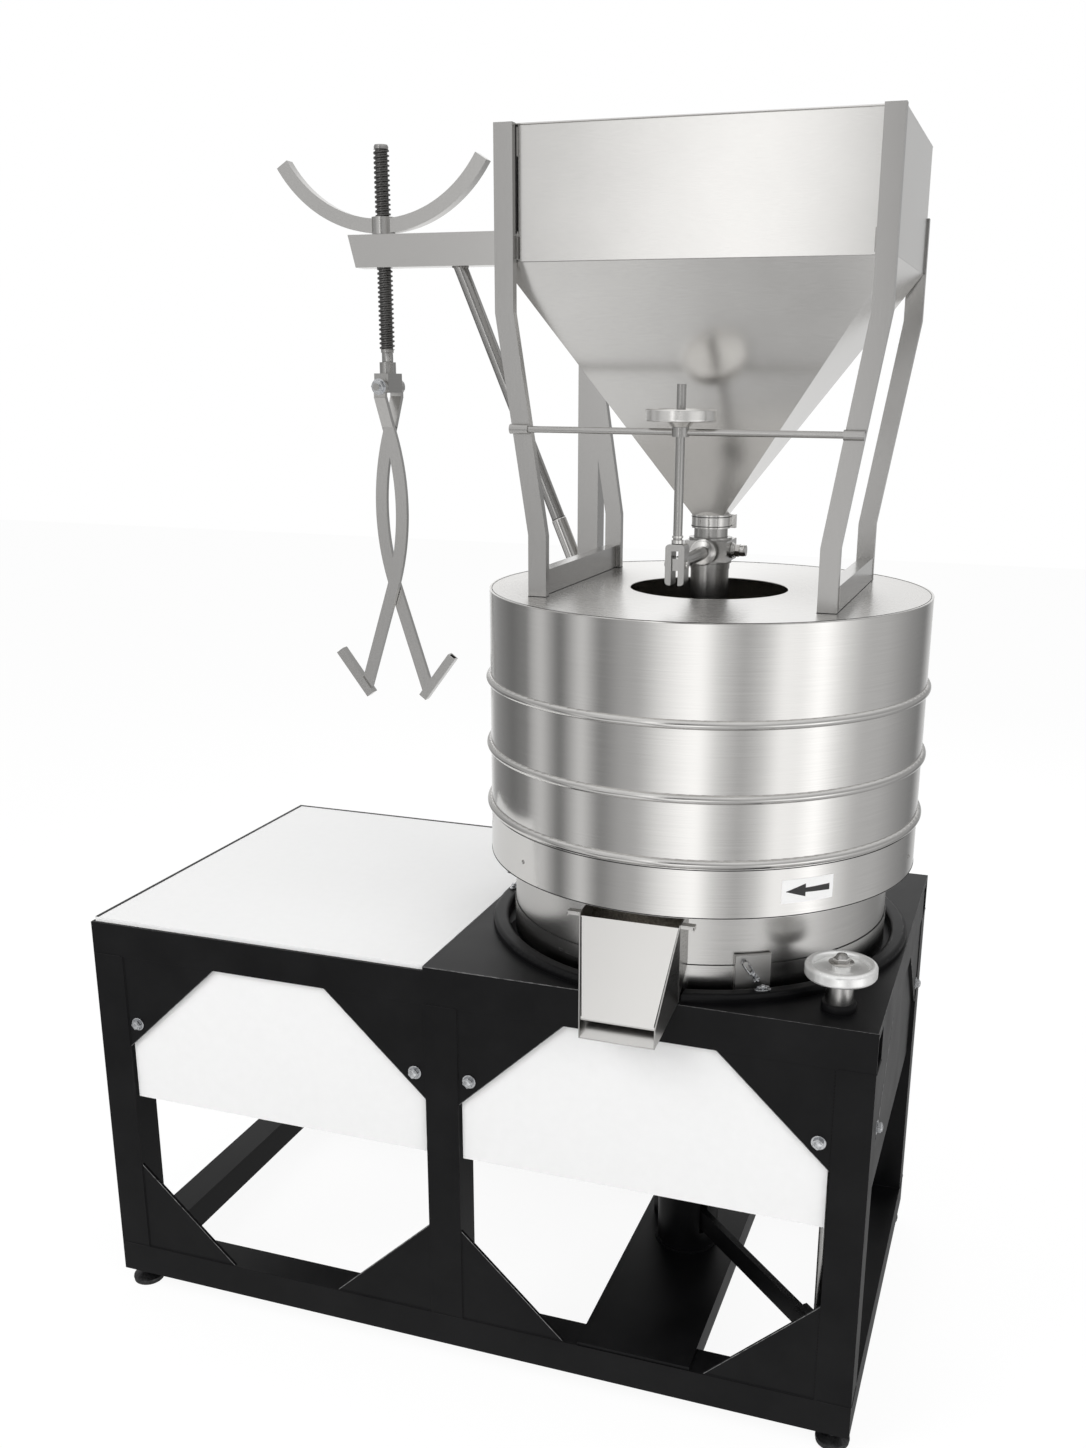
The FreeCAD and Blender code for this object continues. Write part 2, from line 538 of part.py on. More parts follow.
def make_band():
    """Steel hoop shrunk on the runner, and three sweepers on it that hang into the flour trough."""
    inner = "stone_radius + band_gap"
    outer = f"({inner} + band_thickness)"
    low, high = f"({RUNNER_BOTTOM} + band_inset)", f"({RUNNER_BOTTOM} + runner_height - band_inset)"
    hoop = turned("runner_hoop", [(inner, low), (outer, low), (outer, high), (inner, high)])
    trough_outer = "(drum_radius - drum_wall)"
    pieces = [hoop]
    for index in range(3):
        angle = 90 + 120 * index
        block = box(f"sweeper_block_{index}", f"{outer} - 3", "-sweeper_width / 2", low, "sweeper_bar + 7",
                    "sweeper_width", "sweeper_width")
        bottom = "trough_height + sweeper_gap"
        bar = box(f"sweeper_bar_{index}", f"{outer} + 2", "-sweeper_width / 2", bottom, "sweeper_bar",
                  "sweeper_width", f"{low} + sweeper_width - ({bottom})")
        blade = box(f"sweeper_blade_{index}", "bed_radius + sweeper_gap", "-sweeper_bar / 2", bottom,
                    f"{trough_outer} - bed_radius - sweeper_gap - sweeper_side_gap", "sweeper_bar",
                    "blade_height")
        seat = round_bar(f"sweeper_seat_{index}", "0", "0", low, outer, "sweeper_width")
        blank = cut(f"sweeper_{index}", join(f"sweeper_blank_{index}", block, bar, blade), seat)
        pieces.append(place(blank, MILL_X, MILL_Y, "0", (0, 0, 1), angle))
    node("runner_band", group("runner_band", pieces))


def make_drum():
    """Lower drum with its pan, the seat ring for the hood and the window for the spout."""
    low, floor = FRAME_TOP, f"{FRAME_TOP} + pan_floor"
    inner = "drum_radius - drum_wall"
    seat_outer = "hood_radius - hood_wall - seat_gap"
    seat_top = "seat_height + seat_thickness"
    shell = turned("drum_shell", [
        (inner, low), ("drum_radius + drum_band", low), ("drum_radius + drum_band", "drum_seam"),
        ("drum_radius", "drum_seam"), ("drum_radius", "drum_top"), (inner, "drum_top")])
    pan = turned("drum_pan", [
        ("pan_hole", low), (f"{inner} - band_gap", low), (f"{inner} - band_gap", floor), ("pan_hole", floor)])
    seat = turned("drum_seat", [
        ("drum_radius + band_gap", "seat_height"), (seat_outer, "seat_height"), (seat_outer, seat_top),
        ("drum_radius + band_gap", seat_top)])
    window = box("drum_window", f"{SPOUT_X} - spout_half + spout_wall",
                 f"{MILL_Y} - drum_radius - drum_wall",
                 "trough_height", "2 * (spout_half - spout_wall)", "window_depth", "window_height")
    node("lower_drum", group("lower_drum", [cut("drum_wall_cut", shell, window), pan, seat]))
    top, under = "trough_height", "trough_height - trough_thickness"
    outer = "drum_radius - drum_wall - band_gap"
    node("trough_floor", turned("trough_floor", [
        ("bed_radius + band_gap", under), (f"{outer} - drum_wall", under), (f"{outer} - drum_wall", floor),
        (outer, floor), (outer, top), ("bed_radius + band_gap", top)]))


def make_hood():
    inner = "hood_radius - hood_wall"
    rim = "seat_height + seat_thickness + seat_gap"
    node("hood_skirt", turned("hood_skirt", [
        (inner, "skirt_bottom"), ("hood_radius", "skirt_bottom"), ("hood_radius", "skirt_top"),
        (inner, "skirt_top"), (inner, f"{rim} + hood_wall"), ("rim_inner", f"{rim} + hood_wall"), ("rim_inner", rim),
        (inner, rim)]))
    shell = turned("hood_shell", [
        (inner, "skirt_top"), ("hood_radius", "skirt_top"), ("hood_radius", "hood_top"),
        ("hood_hole", "hood_top"), ("hood_hole", "hood_top - hood_wall"), (inner, "hood_top - hood_wall")])
    beads = [place(bound(doc.addObject("Part::Torus", f"bead_{name}"), Radius1="hood_radius",
                         Radius2="bead_radius"),
                   MILL_X, MILL_Y, name) for name in ("bead_low", "bead_middle", "bead_high")]
    node("hood", join("hood", shell, *beads))


def section(body, name, forward, half, low, high):
    sketch = sketch_on(body, name, "XZ_Plane", forward)
    draw_outline(sketch, [(f"-({half})", low), (half, low), (half, high), (f"-({half})", high)])
    return sketch


def make_spout():
    """Folded sheet spout: straight throat under the skirt, then a steep taper to the mouth."""
    body = place(doc.addObject("PartDesign::Body", "spout_shell"), SPOUT_X, MILL_Y)
    lip, mouth = "table_depth / 2", "table_depth / 2 + spout_reach"
    outer = [section(body, "throat_outer", "throat_radius", "spout_half", "throat_bottom", "throat_top"),
             section(body, "lip_outer", lip, "spout_half", "lip_bottom", "lip_top"),
             section(body, "mouth_outer", mouth, "mouth_half", "mouth_bottom", "mouth_top")]
    inner = [section(body, "throat_inner", "throat_radius", "spout_half - spout_wall",
                     "throat_bottom + spout_wall", "throat_top - spout_wall"),
             section(body, "lip_inner", lip, "spout_half - spout_wall", "lip_bottom + spout_wall",
                     "lip_top - spout_wall"),
             section(body, "mouth_inner", mouth, "mouth_half - spout_wall", "mouth_bottom + spout_wall",
                     "mouth_top - spout_wall")]
    doc.recompute()
    loft = body.newObject("PartDesign::AdditiveLoft", "spout_loft")
    loft.Profile = outer[0]
    loft.Sections = outer[1:]
    loft.Ruled = True
    doc.recompute()
    hollow = body.newObject("PartDesign::SubtractiveLoft", "spout_hollow")
    hollow.Profile = inner[0]
    hollow.Sections = inner[1:]
    hollow.Ruled = True
    tabs = [box(f"spout_tab_{name}", x, f"{MILL_Y} - {lip} + 1", "throat_top - tab_drop", "spout_tab",
                "tab_depth", "spout_wall")
            for name, x in (("left", f"{SPOUT_X} - spout_half - spout_tab + 1"),
                            ("right", f"{SPOUT_X} + spout_half - 1"))]
    opening = box("spout_top_opening", f"{SPOUT_X} - spout_half + spout_wall", f"{MILL_Y} - {lip} + 2",
                  "throat_top - lid_drop", "2 * (spout_half - spout_wall)", "lid_depth", "20")
    drum = round_bar("spout_drum_cut", MILL_X, MILL_Y, "table_height", "drum_radius + band_gap",
                     "drum_top - table_height")
    band = round_bar("spout_band_cut", MILL_X, MILL_Y, "table_height", "drum_radius + drum_band + band_gap",
                     "drum_seam + band_gap - table_height")
    node("spout", cut("spout", join("spout_with_tabs", body, *tabs), drum, band, opening))


def make_latches():
    """Three toggle latches that tie the drum to the deck."""
    face = "drum_radius + drum_band"
    pin_height = "latch_high - 12"
    lever_radius = f"({face} + latch_plate)"
    plates, keepers = [], []
    for index, name in enumerate(("front", "rear", "left")):
        angle = value("latch_angle") + 120 * index
        base = box(f"latch_plate_{name}_flat", face, "-latch_width / 2", "latch_low", "latch_plate",
                   "latch_width", "latch_high - latch_low")
        pin = round_bar(f"latch_pin_{name}", f"{lever_radius} - 1", "-latch_width / 4", pin_height,
                        "latch_pin", "10", "x")
        plates.append(place(join(f"latch_plate_{name}", base, pin), MILL_X, MILL_Y, "0", (0, 0, 1), angle))
        seat = "(table_height + lip_height)"
        eye = box(f"latch_eye_{name}_block", "well_radius + lip_round", "0", seat,
                  "lip_width - 2 * lip_round", "22", "9")
        hole = round_bar(f"latch_eye_{name}_hole", "well_radius", "11", f"{seat} + 5", "2", "lip_width",
                         "x")
        keepers.append(place(cut(f"latch_eye_{name}", eye, hole), MILL_X, MILL_Y, "0", (0, 0, 1), angle))
        bar = box(f"latch_bar_{name}", "seat_gap", "-6", "-latch_lever + 6", "6", "12", "latch_lever")
        end = round_bar(f"latch_end_{name}", "seat_gap", "0", "0", "6", "6", "x")
        hole = round_bar(f"latch_hole_{name}", "-1", "0", "0", "latch_pin + running_fit", "10", "x")
        lever = cut(f"latch_lever_{name}_part", join(f"latch_blank_{name}", bar, end), hole)
        tilt = FreeCAD.Rotation(FreeCAD.Vector(1, 0, 0), 35)
        turn = FreeCAD.Rotation(FreeCAD.Vector(0, 0, 1), angle)
        spot = turn.multVec(FreeCAD.Vector(value(lever_radius), -value("latch_width") / 4, 0))
        lever.Placement = FreeCAD.Placement(FreeCAD.Vector(), turn.multiply(tilt))
        place(lever, f"{MILL_X} + {spot.x}", f"{MILL_Y} + {spot.y}", pin_height)
        node(f"latch_lever_{name}", lever)
    node("latch_plates", group("latch_plates", plates))
    node("latch_eyes", group("latch_eyes", keepers))


def make_drive():
    """Bearing column on the base channel, spindle, pulleys, belt and motor."""
    web = box("channel_web", f"{MILL_X} - channel_width / 2", f"{FRONT} + gusset_inset", RAIL_TOP,
              "channel_width", "table_depth - 2 * gusset_inset", "channel_thickness")
    flanges = [box(f"channel_flange_{name}", x, f"{FRONT} + tube + joint_gap",
                   f"{RAIL_TOP} - channel_flange",
                   "channel_thickness", "table_depth - 2 * tube - 2 * joint_gap", "channel_flange + 1")
               for name, x in (("left", f"{MILL_X} - channel_width / 2"),
                               ("right", f"{MILL_X} + channel_width / 2 - channel_thickness"))]
    node("base_channel", join("base_channel", web, *flanges))
    tube_inner = "column_radius - column_wall"
    column = turned("column_tube",
                    [(tube_inner, CHANNEL_TOP), ("column_radius", CHANNEL_TOP),
                     ("column_radius", "column_top"),
                                    (tube_inner, "column_top")])
    slot = place(box("column_slot", "0", "0", "0", "2 * column_radius + 20", "slot_width",
                     "slot_top - slot_bottom"))
    slot.Placement = FreeCAD.Placement(FreeCAD.Vector(),
                                       FreeCAD.Rotation(FreeCAD.Vector(0, 0, 1), LEVER_TURN))
    shift = FreeCAD.Rotation(FreeCAD.Vector(0, 0, 1), LEVER_TURN).multVec(
        FreeCAD.Vector(-value("column_radius") - 10, -value("slot_width") / 2, 0))
    place(slot, f"{MILL_X} + {shift.x}", f"{MILL_Y} + {shift.y}", "slot_bottom")
    node("bearing_column", cut("bearing_column", column, slot))
    bore = "spindle_radius + running_fit"
    node("column_bearing", turned("column_bearing", [
        (bore, "column_top - bearing_drop"), (f"{tube_inner} - band_gap", "column_top - bearing_drop"),
        (f"{tube_inner} - band_gap", "column_top"), ("column_radius + 5", "column_top"),
        ("column_radius + 5", "column_top + bearing_flange"), (bore, "column_top + bearing_flange")]))
    cup_top = f"({CUP_BOTTOM} + footstep_height)"
    recess = f"({cup_top} - footstep_recess)"
    node("footstep_cup", turned("footstep_cup", [
        ("0", CUP_BOTTOM), (f"{tube_inner} - running_fit", CUP_BOTTOM),
        (f"{tube_inner} - running_fit", cup_top), (bore, cup_top), (bore, recess), ("0", recess)]))
    node("spindle", turned("spindle", [
        ("0", f"{recess} + seat_gap"), ("spindle_radius", f"{recess} + seat_gap"),
        ("spindle_radius", RYND_BOTTOM), ("neck_radius", RYND_BOTTOM), ("neck_radius", f"{RYND_TOP} + 8"),
        ("neck_radius - 4", f"{RYND_TOP} + 12"), ("0", f"{RYND_TOP} + 12")]))
    node("neck_bearing", turned("neck_bearing", [
        (bore, f"{FRAME_TOP} + pan_floor"), ("bed_eye - band_gap", f"{FRAME_TOP} + pan_floor"),
        ("bed_eye - band_gap", "grind_height - neck_drop"), (bore, "grind_height - neck_drop")]))
    low, high = "pulley_height", "(pulley_height + pulley_width)"
    web_low = "(pulley_height + (pulley_width - pulley_web) / 2)"
    web_high = "(pulley_height + (pulley_width + pulley_web) / 2)"
    rim = "driven_radius - pulley_rim"
    node("driven_pulley", turned("driven_pulley", [
        (bore, f"{low} - 5"), ("pulley_hub", f"{low} - 5"), ("pulley_hub", web_low), (rim, web_low),
        (rim, low), ("driven_radius", low), ("driven_radius", high), (rim, high), (rim, web_high),
        ("pulley_hub", web_high), ("pulley_hub", f"{high} + 5"), (bore, f"{high} + 5")]))
    node("motor_pulley", turned("motor_pulley", [
        ("0", f"{low} - 5"), ("motor_shaft", f"{low} - 5"), ("motor_shaft", low),
        ("motor_pulley_radius", low),
        ("motor_pulley_radius", high), ("motor_shaft", high), ("motor_shaft", "mount_height + 30"),
        ("0", "mount_height + 30")], MOTOR_X, MILL_Y))
    make_belt()
    make_motor()


def make_belt():
    """Flat belt: two arcs and two tangents, as a closed band of even thickness."""
    spread = value(f"{MILL_X} - {MOTOR_X}")
    big, small = value("driven_radius + belt_gap"), value("motor_pulley_radius + belt_gap")
    lean = math.acos((big - small) / spread)

    def loop(extra):
        right, left = FreeCAD.Vector(0, 0, 0), FreeCAD.Vector(-spread, 0, 0)
        def at(centre, radius, angle):
            return centre + FreeCAD.Vector(math.cos(angle), math.sin(angle), 0) * (radius + extra)
        up, down = math.pi - lean, math.pi + lean
        wide = Part.Arc(at(right, big, up), at(right, big, 0), at(right, big, down)).toShape()
        lower = Part.LineSegment(at(right, big, down), at(left, small, down)).toShape()
        narrow = Part.Arc(at(left, small, down), at(left, small, math.pi), at(left, small, up)).toShape()
        upper = Part.LineSegment(at(left, small, up), at(right, big, up)).toShape()
        return Part.Face(Part.Wire([wide, lower, narrow, upper]))

    band = loop(value("belt_thickness")).cut(loop(0)).extrude(FreeCAD.Vector(0, 0, value("belt_width")))
    belt = doc.addObject("Part::Feature", "drive_belt")
    belt.Shape = band
    place(belt, MILL_X, MILL_Y, "pulley_height + (pulley_width - belt_width) / 2")
    node("drive_belt", belt)


def make_motor():
    low = "mount_height"
    node("motor", turned("motor", [
        ("motor_shaft + running_fit", low), ("motor_flange", low),
        ("motor_flange", f"{low} + motor_flange_thickness"),
        ("motor_radius", f"{low} + motor_flange_thickness"), ("motor_radius", f"{low} + motor_height - 8"),
        ("motor_radius - 8", f"{low} + motor_height"), ("0", f"{low} + motor_height"), ("0", f"{low} + 40"),
        ("motor_shaft + running_fit", f"{low} + 40")], MOTOR_X, MILL_Y))
    full = "2 * mount_half"
    flat = box("mount_flat", f"{MOTOR_X} - mount_half", f"{MILL_Y} - mount_half",
               f"{low} - mount_thickness", full, full, "mount_thickness")
    cheeks = [box(f"mount_cheek_{name}", x, f"{MILL_Y} - mount_half", f"{low} - mount_thickness",
                  "mount_thickness", full, f"{FRAME_TOP} - {low} + mount_thickness")
              for name, x in (("left", f"{MOTOR_X} - mount_half - mount_thickness"),
                              ("right", f"{MOTOR_X} + mount_half"))]
    hole = round_bar("mount_hole", MOTOR_X, MILL_Y, f"{low} - mount_thickness - 1",
                     "motor_pulley_radius + 2", "mount_thickness + 2")
    node("motor_mount", cut("motor_mount", join("mount_folded", flat, *cheeks), hole))


LEVER_TURN = math.degrees(math.atan2(value(f"{SCREW_Y} - {MILL_Y}"), value(f"{SCREW_X} - {MILL_X}")))
LEVER_REACH = f"sqrt(({SCREW_X} - {MILL_X}) ^ 2 + ({SCREW_Y} - {MILL_Y}) ^ 2)"


def along_lever(thing):
    """Place a thing, made with +X from the spindle to the gap screw, in the machine."""
    return place(thing, MILL_X, MILL_Y, "0", (0, 0, 1), LEVER_TURN)


def make_gap_gear():
    """Handwheel, screw, nut and tenter lever that lift the spindle."""
    middle = "(lever_top - lever_height / 2)"
    bar = box("lever_bar_flat", "-lever_tail - lever_height / 2", "-lever_thickness / 2",
              "lever_top - lever_height",
              f"lever_tail + lever_height / 2 + {LEVER_REACH} - lever_end_gap", "lever_thickness",
              "lever_height")
    nose = "lever_thickness / 2"
    button = box("lever_button", f"-({nose})", f"-({nose})", "lever_top - 1", "lever_thickness",
                 "lever_thickness", f"lift_button + 1 - {nose}")
    tip = round_bar("lever_nose", "0", f"-({nose})", f"lever_top + lift_button - {nose}", nose,
                    "lever_thickness", "y")
    pivot = round_bar("lever_pivot_hole", "-lever_tail", "-lever_thickness", middle,
                      "pivot_radius + running_fit", "2 * lever_thickness", "y")
    slot = [round_bar(f"lever_slot_{name}", f"{LEVER_REACH} - nut_pin_back + {shift}", "-lever_thickness",
                      middle, "nut_pin_radius + running_fit + 0.3", "2 * lever_thickness", "y")
            for name, shift in (("near", "-2.5"), ("middle", "0"), ("far", "2.5"))]
    node("tenter_lever",
         along_lever(cut("tenter_lever", join("lever_blank", bar, button, tip), pivot, *slot)))
    ears = [box(f"pivot_ear_{name}", "-lever_tail - pivot_radius - 12", y, CHANNEL_TOP,
                "2 * pivot_radius + 24", "cheek_thickness", f"lever_top - ({CHANNEL_TOP})")
            for name, y in (("near", "-lever_thickness / 2 - ear_gap - cheek_thickness"),
                            ("far", "lever_thickness / 2 + ear_gap"))]
    pin = round_bar("pivot_pin", "-lever_tail", "-lever_thickness / 2 - ear_gap - cheek_thickness - 3",
                    middle, "pivot_radius", "lever_thickness + 2 * ear_gap + 2 * cheek_thickness + 6", "y")
    node("lever_bracket", along_lever(join("lever_bracket", *ears, pin)))
    block = box("nut_block", f"{LEVER_REACH} - nut_half", "-nut_half_width", "lever_top - lever_height",
                "nut_half + nut_front", "2 * nut_half_width", "lever_height")
    inner = "lever_thickness / 2 + cheek_gap"
    cheeks = [box(f"nut_cheek_{name}", f"{LEVER_REACH} - nut_pin_back - 12", y, "lever_top - lever_height",
                  "nut_pin_back + 12 - nut_half + 1", "cheek_thickness", "lever_height")
              for name, y in (("near", f"-({inner}) - cheek_thickness"), ("far", inner))]
    cross = round_bar("nut_pin", f"{LEVER_REACH} - nut_pin_back", f"-({inner}) - cheek_thickness", middle,
                      "nut_pin_radius", f"2 * ({inner} + cheek_thickness)", "y")
    thread = round_bar("nut_thread", LEVER_REACH, "0", "lever_top - lever_height - 1",
                       "screw_radius + running_fit", "lever_height + 2")
    node("gap_nut", along_lever(cut("gap_nut", join("nut_blank", block, *cheeks, cross), thread)))
    post_top = "(table_height + post_height)"
    hub = f"({post_top} + seat_gap)"
    node("gap_screw", turned("gap_screw", [
        ("0", "screw_bottom"), ("screw_radius", "screw_bottom"), ("screw_radius", f"{FRAME_TOP} - 10"),
        ("screw_radius + 3", f"{FRAME_TOP} - 10"), ("screw_radius + 3", f"{FRAME_TOP} - seat_gap"),
        ("screw_radius", f"{FRAME_TOP} - seat_gap"), ("screw_radius", f"{hub} + 26"),
        ("dome_radius", f"{hub} + 26"),
        ("dome_radius", f"{hub} + 34"), ("dome_radius * 0.7", f"{hub} + 40"), ("0", f"{hub} + 42")],
                             SCREW_X, SCREW_Y))
    bore = "screw_radius + running_fit"
    collar_top = "table_height + post_collar"
    post = turned("gap_post", [
        (bore, "table_height"), ("post_foot", "table_height"), ("post_foot", collar_top),
        ("post_radius", collar_top), ("post_radius", post_top), (bore, post_top)], SCREW_X, SCREW_Y)
    node("gap_post", soften(post, "gap_post_round", "3", ("post_foot", collar_top)))
    rim, rim_low, rim_top = "wheel_radius - wheel_rim", f"{hub} + 4", f"{hub} + 4 + wheel_height"
    wheel = turned("gap_handwheel", [
        (bore, hub), ("post_radius", hub), ("post_radius", f"{hub} + 4"), (rim, f"{hub} + 10"),
        (rim, rim_low),
        ("wheel_radius", rim_low), ("wheel_radius", rim_top), (rim, rim_top), (rim, f"{hub} + 17"),
        ("wheel_boss", f"{hub} + 14"), ("wheel_boss", f"{hub} + 26"), (bore, f"{hub} + 26")], SCREW_X,
                   SCREW_Y)
    node("gap_handwheel", soften(wheel, "gap_wheel_round", "wheel_round", ("wheel_radius", rim_low),
                                 ("wheel_radius", rim_top), (rim, rim_top)))


def leg_outline(way, top):
    """Bent flat leg seen from the front; way is -1 on the left and 1 on the right."""
    high, low = f"{way} * stand_half", f"{way} * stand_foot_half"
    high_in, low_in = f"{way} * (stand_half - leg_width)", f"{way} * (stand_foot_half - leg_width)"
    return [(low, "hood_top"), (low, "bend_low"), (high, "bend_high"), (high, top), (high_in, top),
            (high_in, "bend_high"), (low_in, "bend_low"), (low_in, "hood_top")]


def make_stand():
    legs, bars = [], []
    for side, way in (("left", -1), ("right", 1)):
        for row, forward, top in (("front", "stand_half_depth - leg_depth", "hopper_top"),
                                  ("rear", "-stand_half_depth", "rear_leg_top")):
            legs.append(plate(f"stand_leg_{side}_{row}", "XZ_Plane", leg_outline(way, top), forward,
                              "leg_depth", MILL_X, MILL_Y))
        x = f"{MILL_X} - stand_foot_half" if way < 0 else f"{MILL_X} + stand_foot_half - bar_depth"
        bars.append(box(f"stand_bar_{side}", x, f"{MILL_Y} - stand_half_depth + leg_depth", "hood_top",
                        "bar_depth", "2 * (stand_half_depth - leg_depth)", "bar_height"))
    node("stand_legs", group("stand_legs", legs))
    node("stand_bars", group("stand_bars", bars))
    lean = "(stand_half - stand_foot_half) * (bend_high - tie_height) / (bend_high - bend_low)"
    half = f"(stand_half - {lean} - leg_width / 2)"
    rod = round_bar("tie_bar", f"{MILL_X} - {half} - ferrule_length / 2", TIE_Y, "tie_height", "tie_radius",
                    f"2 * {half} + ferrule_length", "x")
    ends = [round_bar(f"tie_ferrule_{name}", f"{MILL_X} + {way} * {half} - ferrule_length / 2", TIE_Y,
                      "tie_height", "ferrule_radius", "ferrule_length", "x")
            for name, way in (("left", -1), ("right", 1))]
    boss = round_bar("tie_boss_blank", MILL_X, TIE_Y, "tie_height - tie_radius - 2", "tie_boss",
                     "2 * tie_radius + 4")
    bore = round_bar("tie_boss_bore", MILL_X, TIE_Y, "tie_height - 20", "feed_rod + running_fit", "40")
    node("tie_rod", cut("tie_rod", join("tie_blank", rod, *ends, boss), bore))


def make_hopper():
    """Open box over a four-sided funnel of thin sheet, with tabs to the legs."""
    body = place(doc.addObject("PartDesign::Body", "hopper_shell"), MILL_X, MILL_Y)
    half, deep = "stand_half - hopper_gap", "(stand_half_depth - leg_depth - hopper_gap)"

    def level(name, height, across, depth):
        sketch = sketch_on(body, name, "XY_Plane", height)
        draw_outline(sketch, [(f"-({across})", f"-({depth})"), (across, f"-({depth})"), (across, depth),
                              (f"-({across})", depth)])
        return sketch

    outer = [level("rim_outer", "hopper_top", half, deep), level("seam_outer", "hopper_seam", half, deep),
             level("neck_outer", "hopper_neck", "neck_half", "neck_half")]
    inner = [level("rim_inner_edge", "hopper_top", f"{half} - sheet", f"{deep} - sheet"),
             level("seam_inner", "hopper_seam", f"{half} - sheet", f"{deep} - sheet"),
             level("neck_inner", "hopper_neck", "neck_half - sheet", "neck_half - sheet")]
    doc.recompute()
    loft = body.newObject("PartDesign::AdditiveLoft", "hopper_loft")
    loft.Profile = outer[0]
    loft.Sections = outer[1:]
    loft.Ruled = True
    doc.recompute()
    hollow = body.newObject("PartDesign::SubtractiveLoft", "hopper_hollow")
    hollow.Profile = inner[0]
    hollow.Sections = inner[1:]
    hollow.Ruled = True
    tabs = []
    for side, x in (("left", f"{MILL_X} - ({half})"), ("right", f"{MILL_X} + {half} - leg_width + 2")):
        for row, y in (("front", f"{MILL_Y} - {deep} - hopper_gap"), ("rear", f"{MILL_Y} + {deep} - 1")):
            heights = ("hopper_seam + 3", "hopper_top - 45") if row == "front" else ("hopper_seam + 3",
                                                                                     "rear_leg_top - 45")
            for number, height in enumerate(heights):
                tabs.append(box(f"hopper_tab_{side}_{row}_{number}", x, y, height, "leg_width - 2",
                                "hopper_gap + 1", "40"))
    collar = round_bar("hopper_collar", MILL_X, MILL_Y, "clamp_bottom", "clamp_radius", "clamp_height")
    lug = box("clamp_lug", f"{MILL_X} + clamp_radius - 4", f"{MILL_Y} + 4", "clamp_bottom", "12", "8",
              "clamp_height")
    bore = round_bar("hopper_collar_bore", MILL_X, MILL_Y, "clamp_bottom - 1", "neck_half - sheet",
                     "clamp_height + 8")
    node("hopper", cut("hopper", join("hopper_with_tabs", body, collar, lug, *tabs), bore))


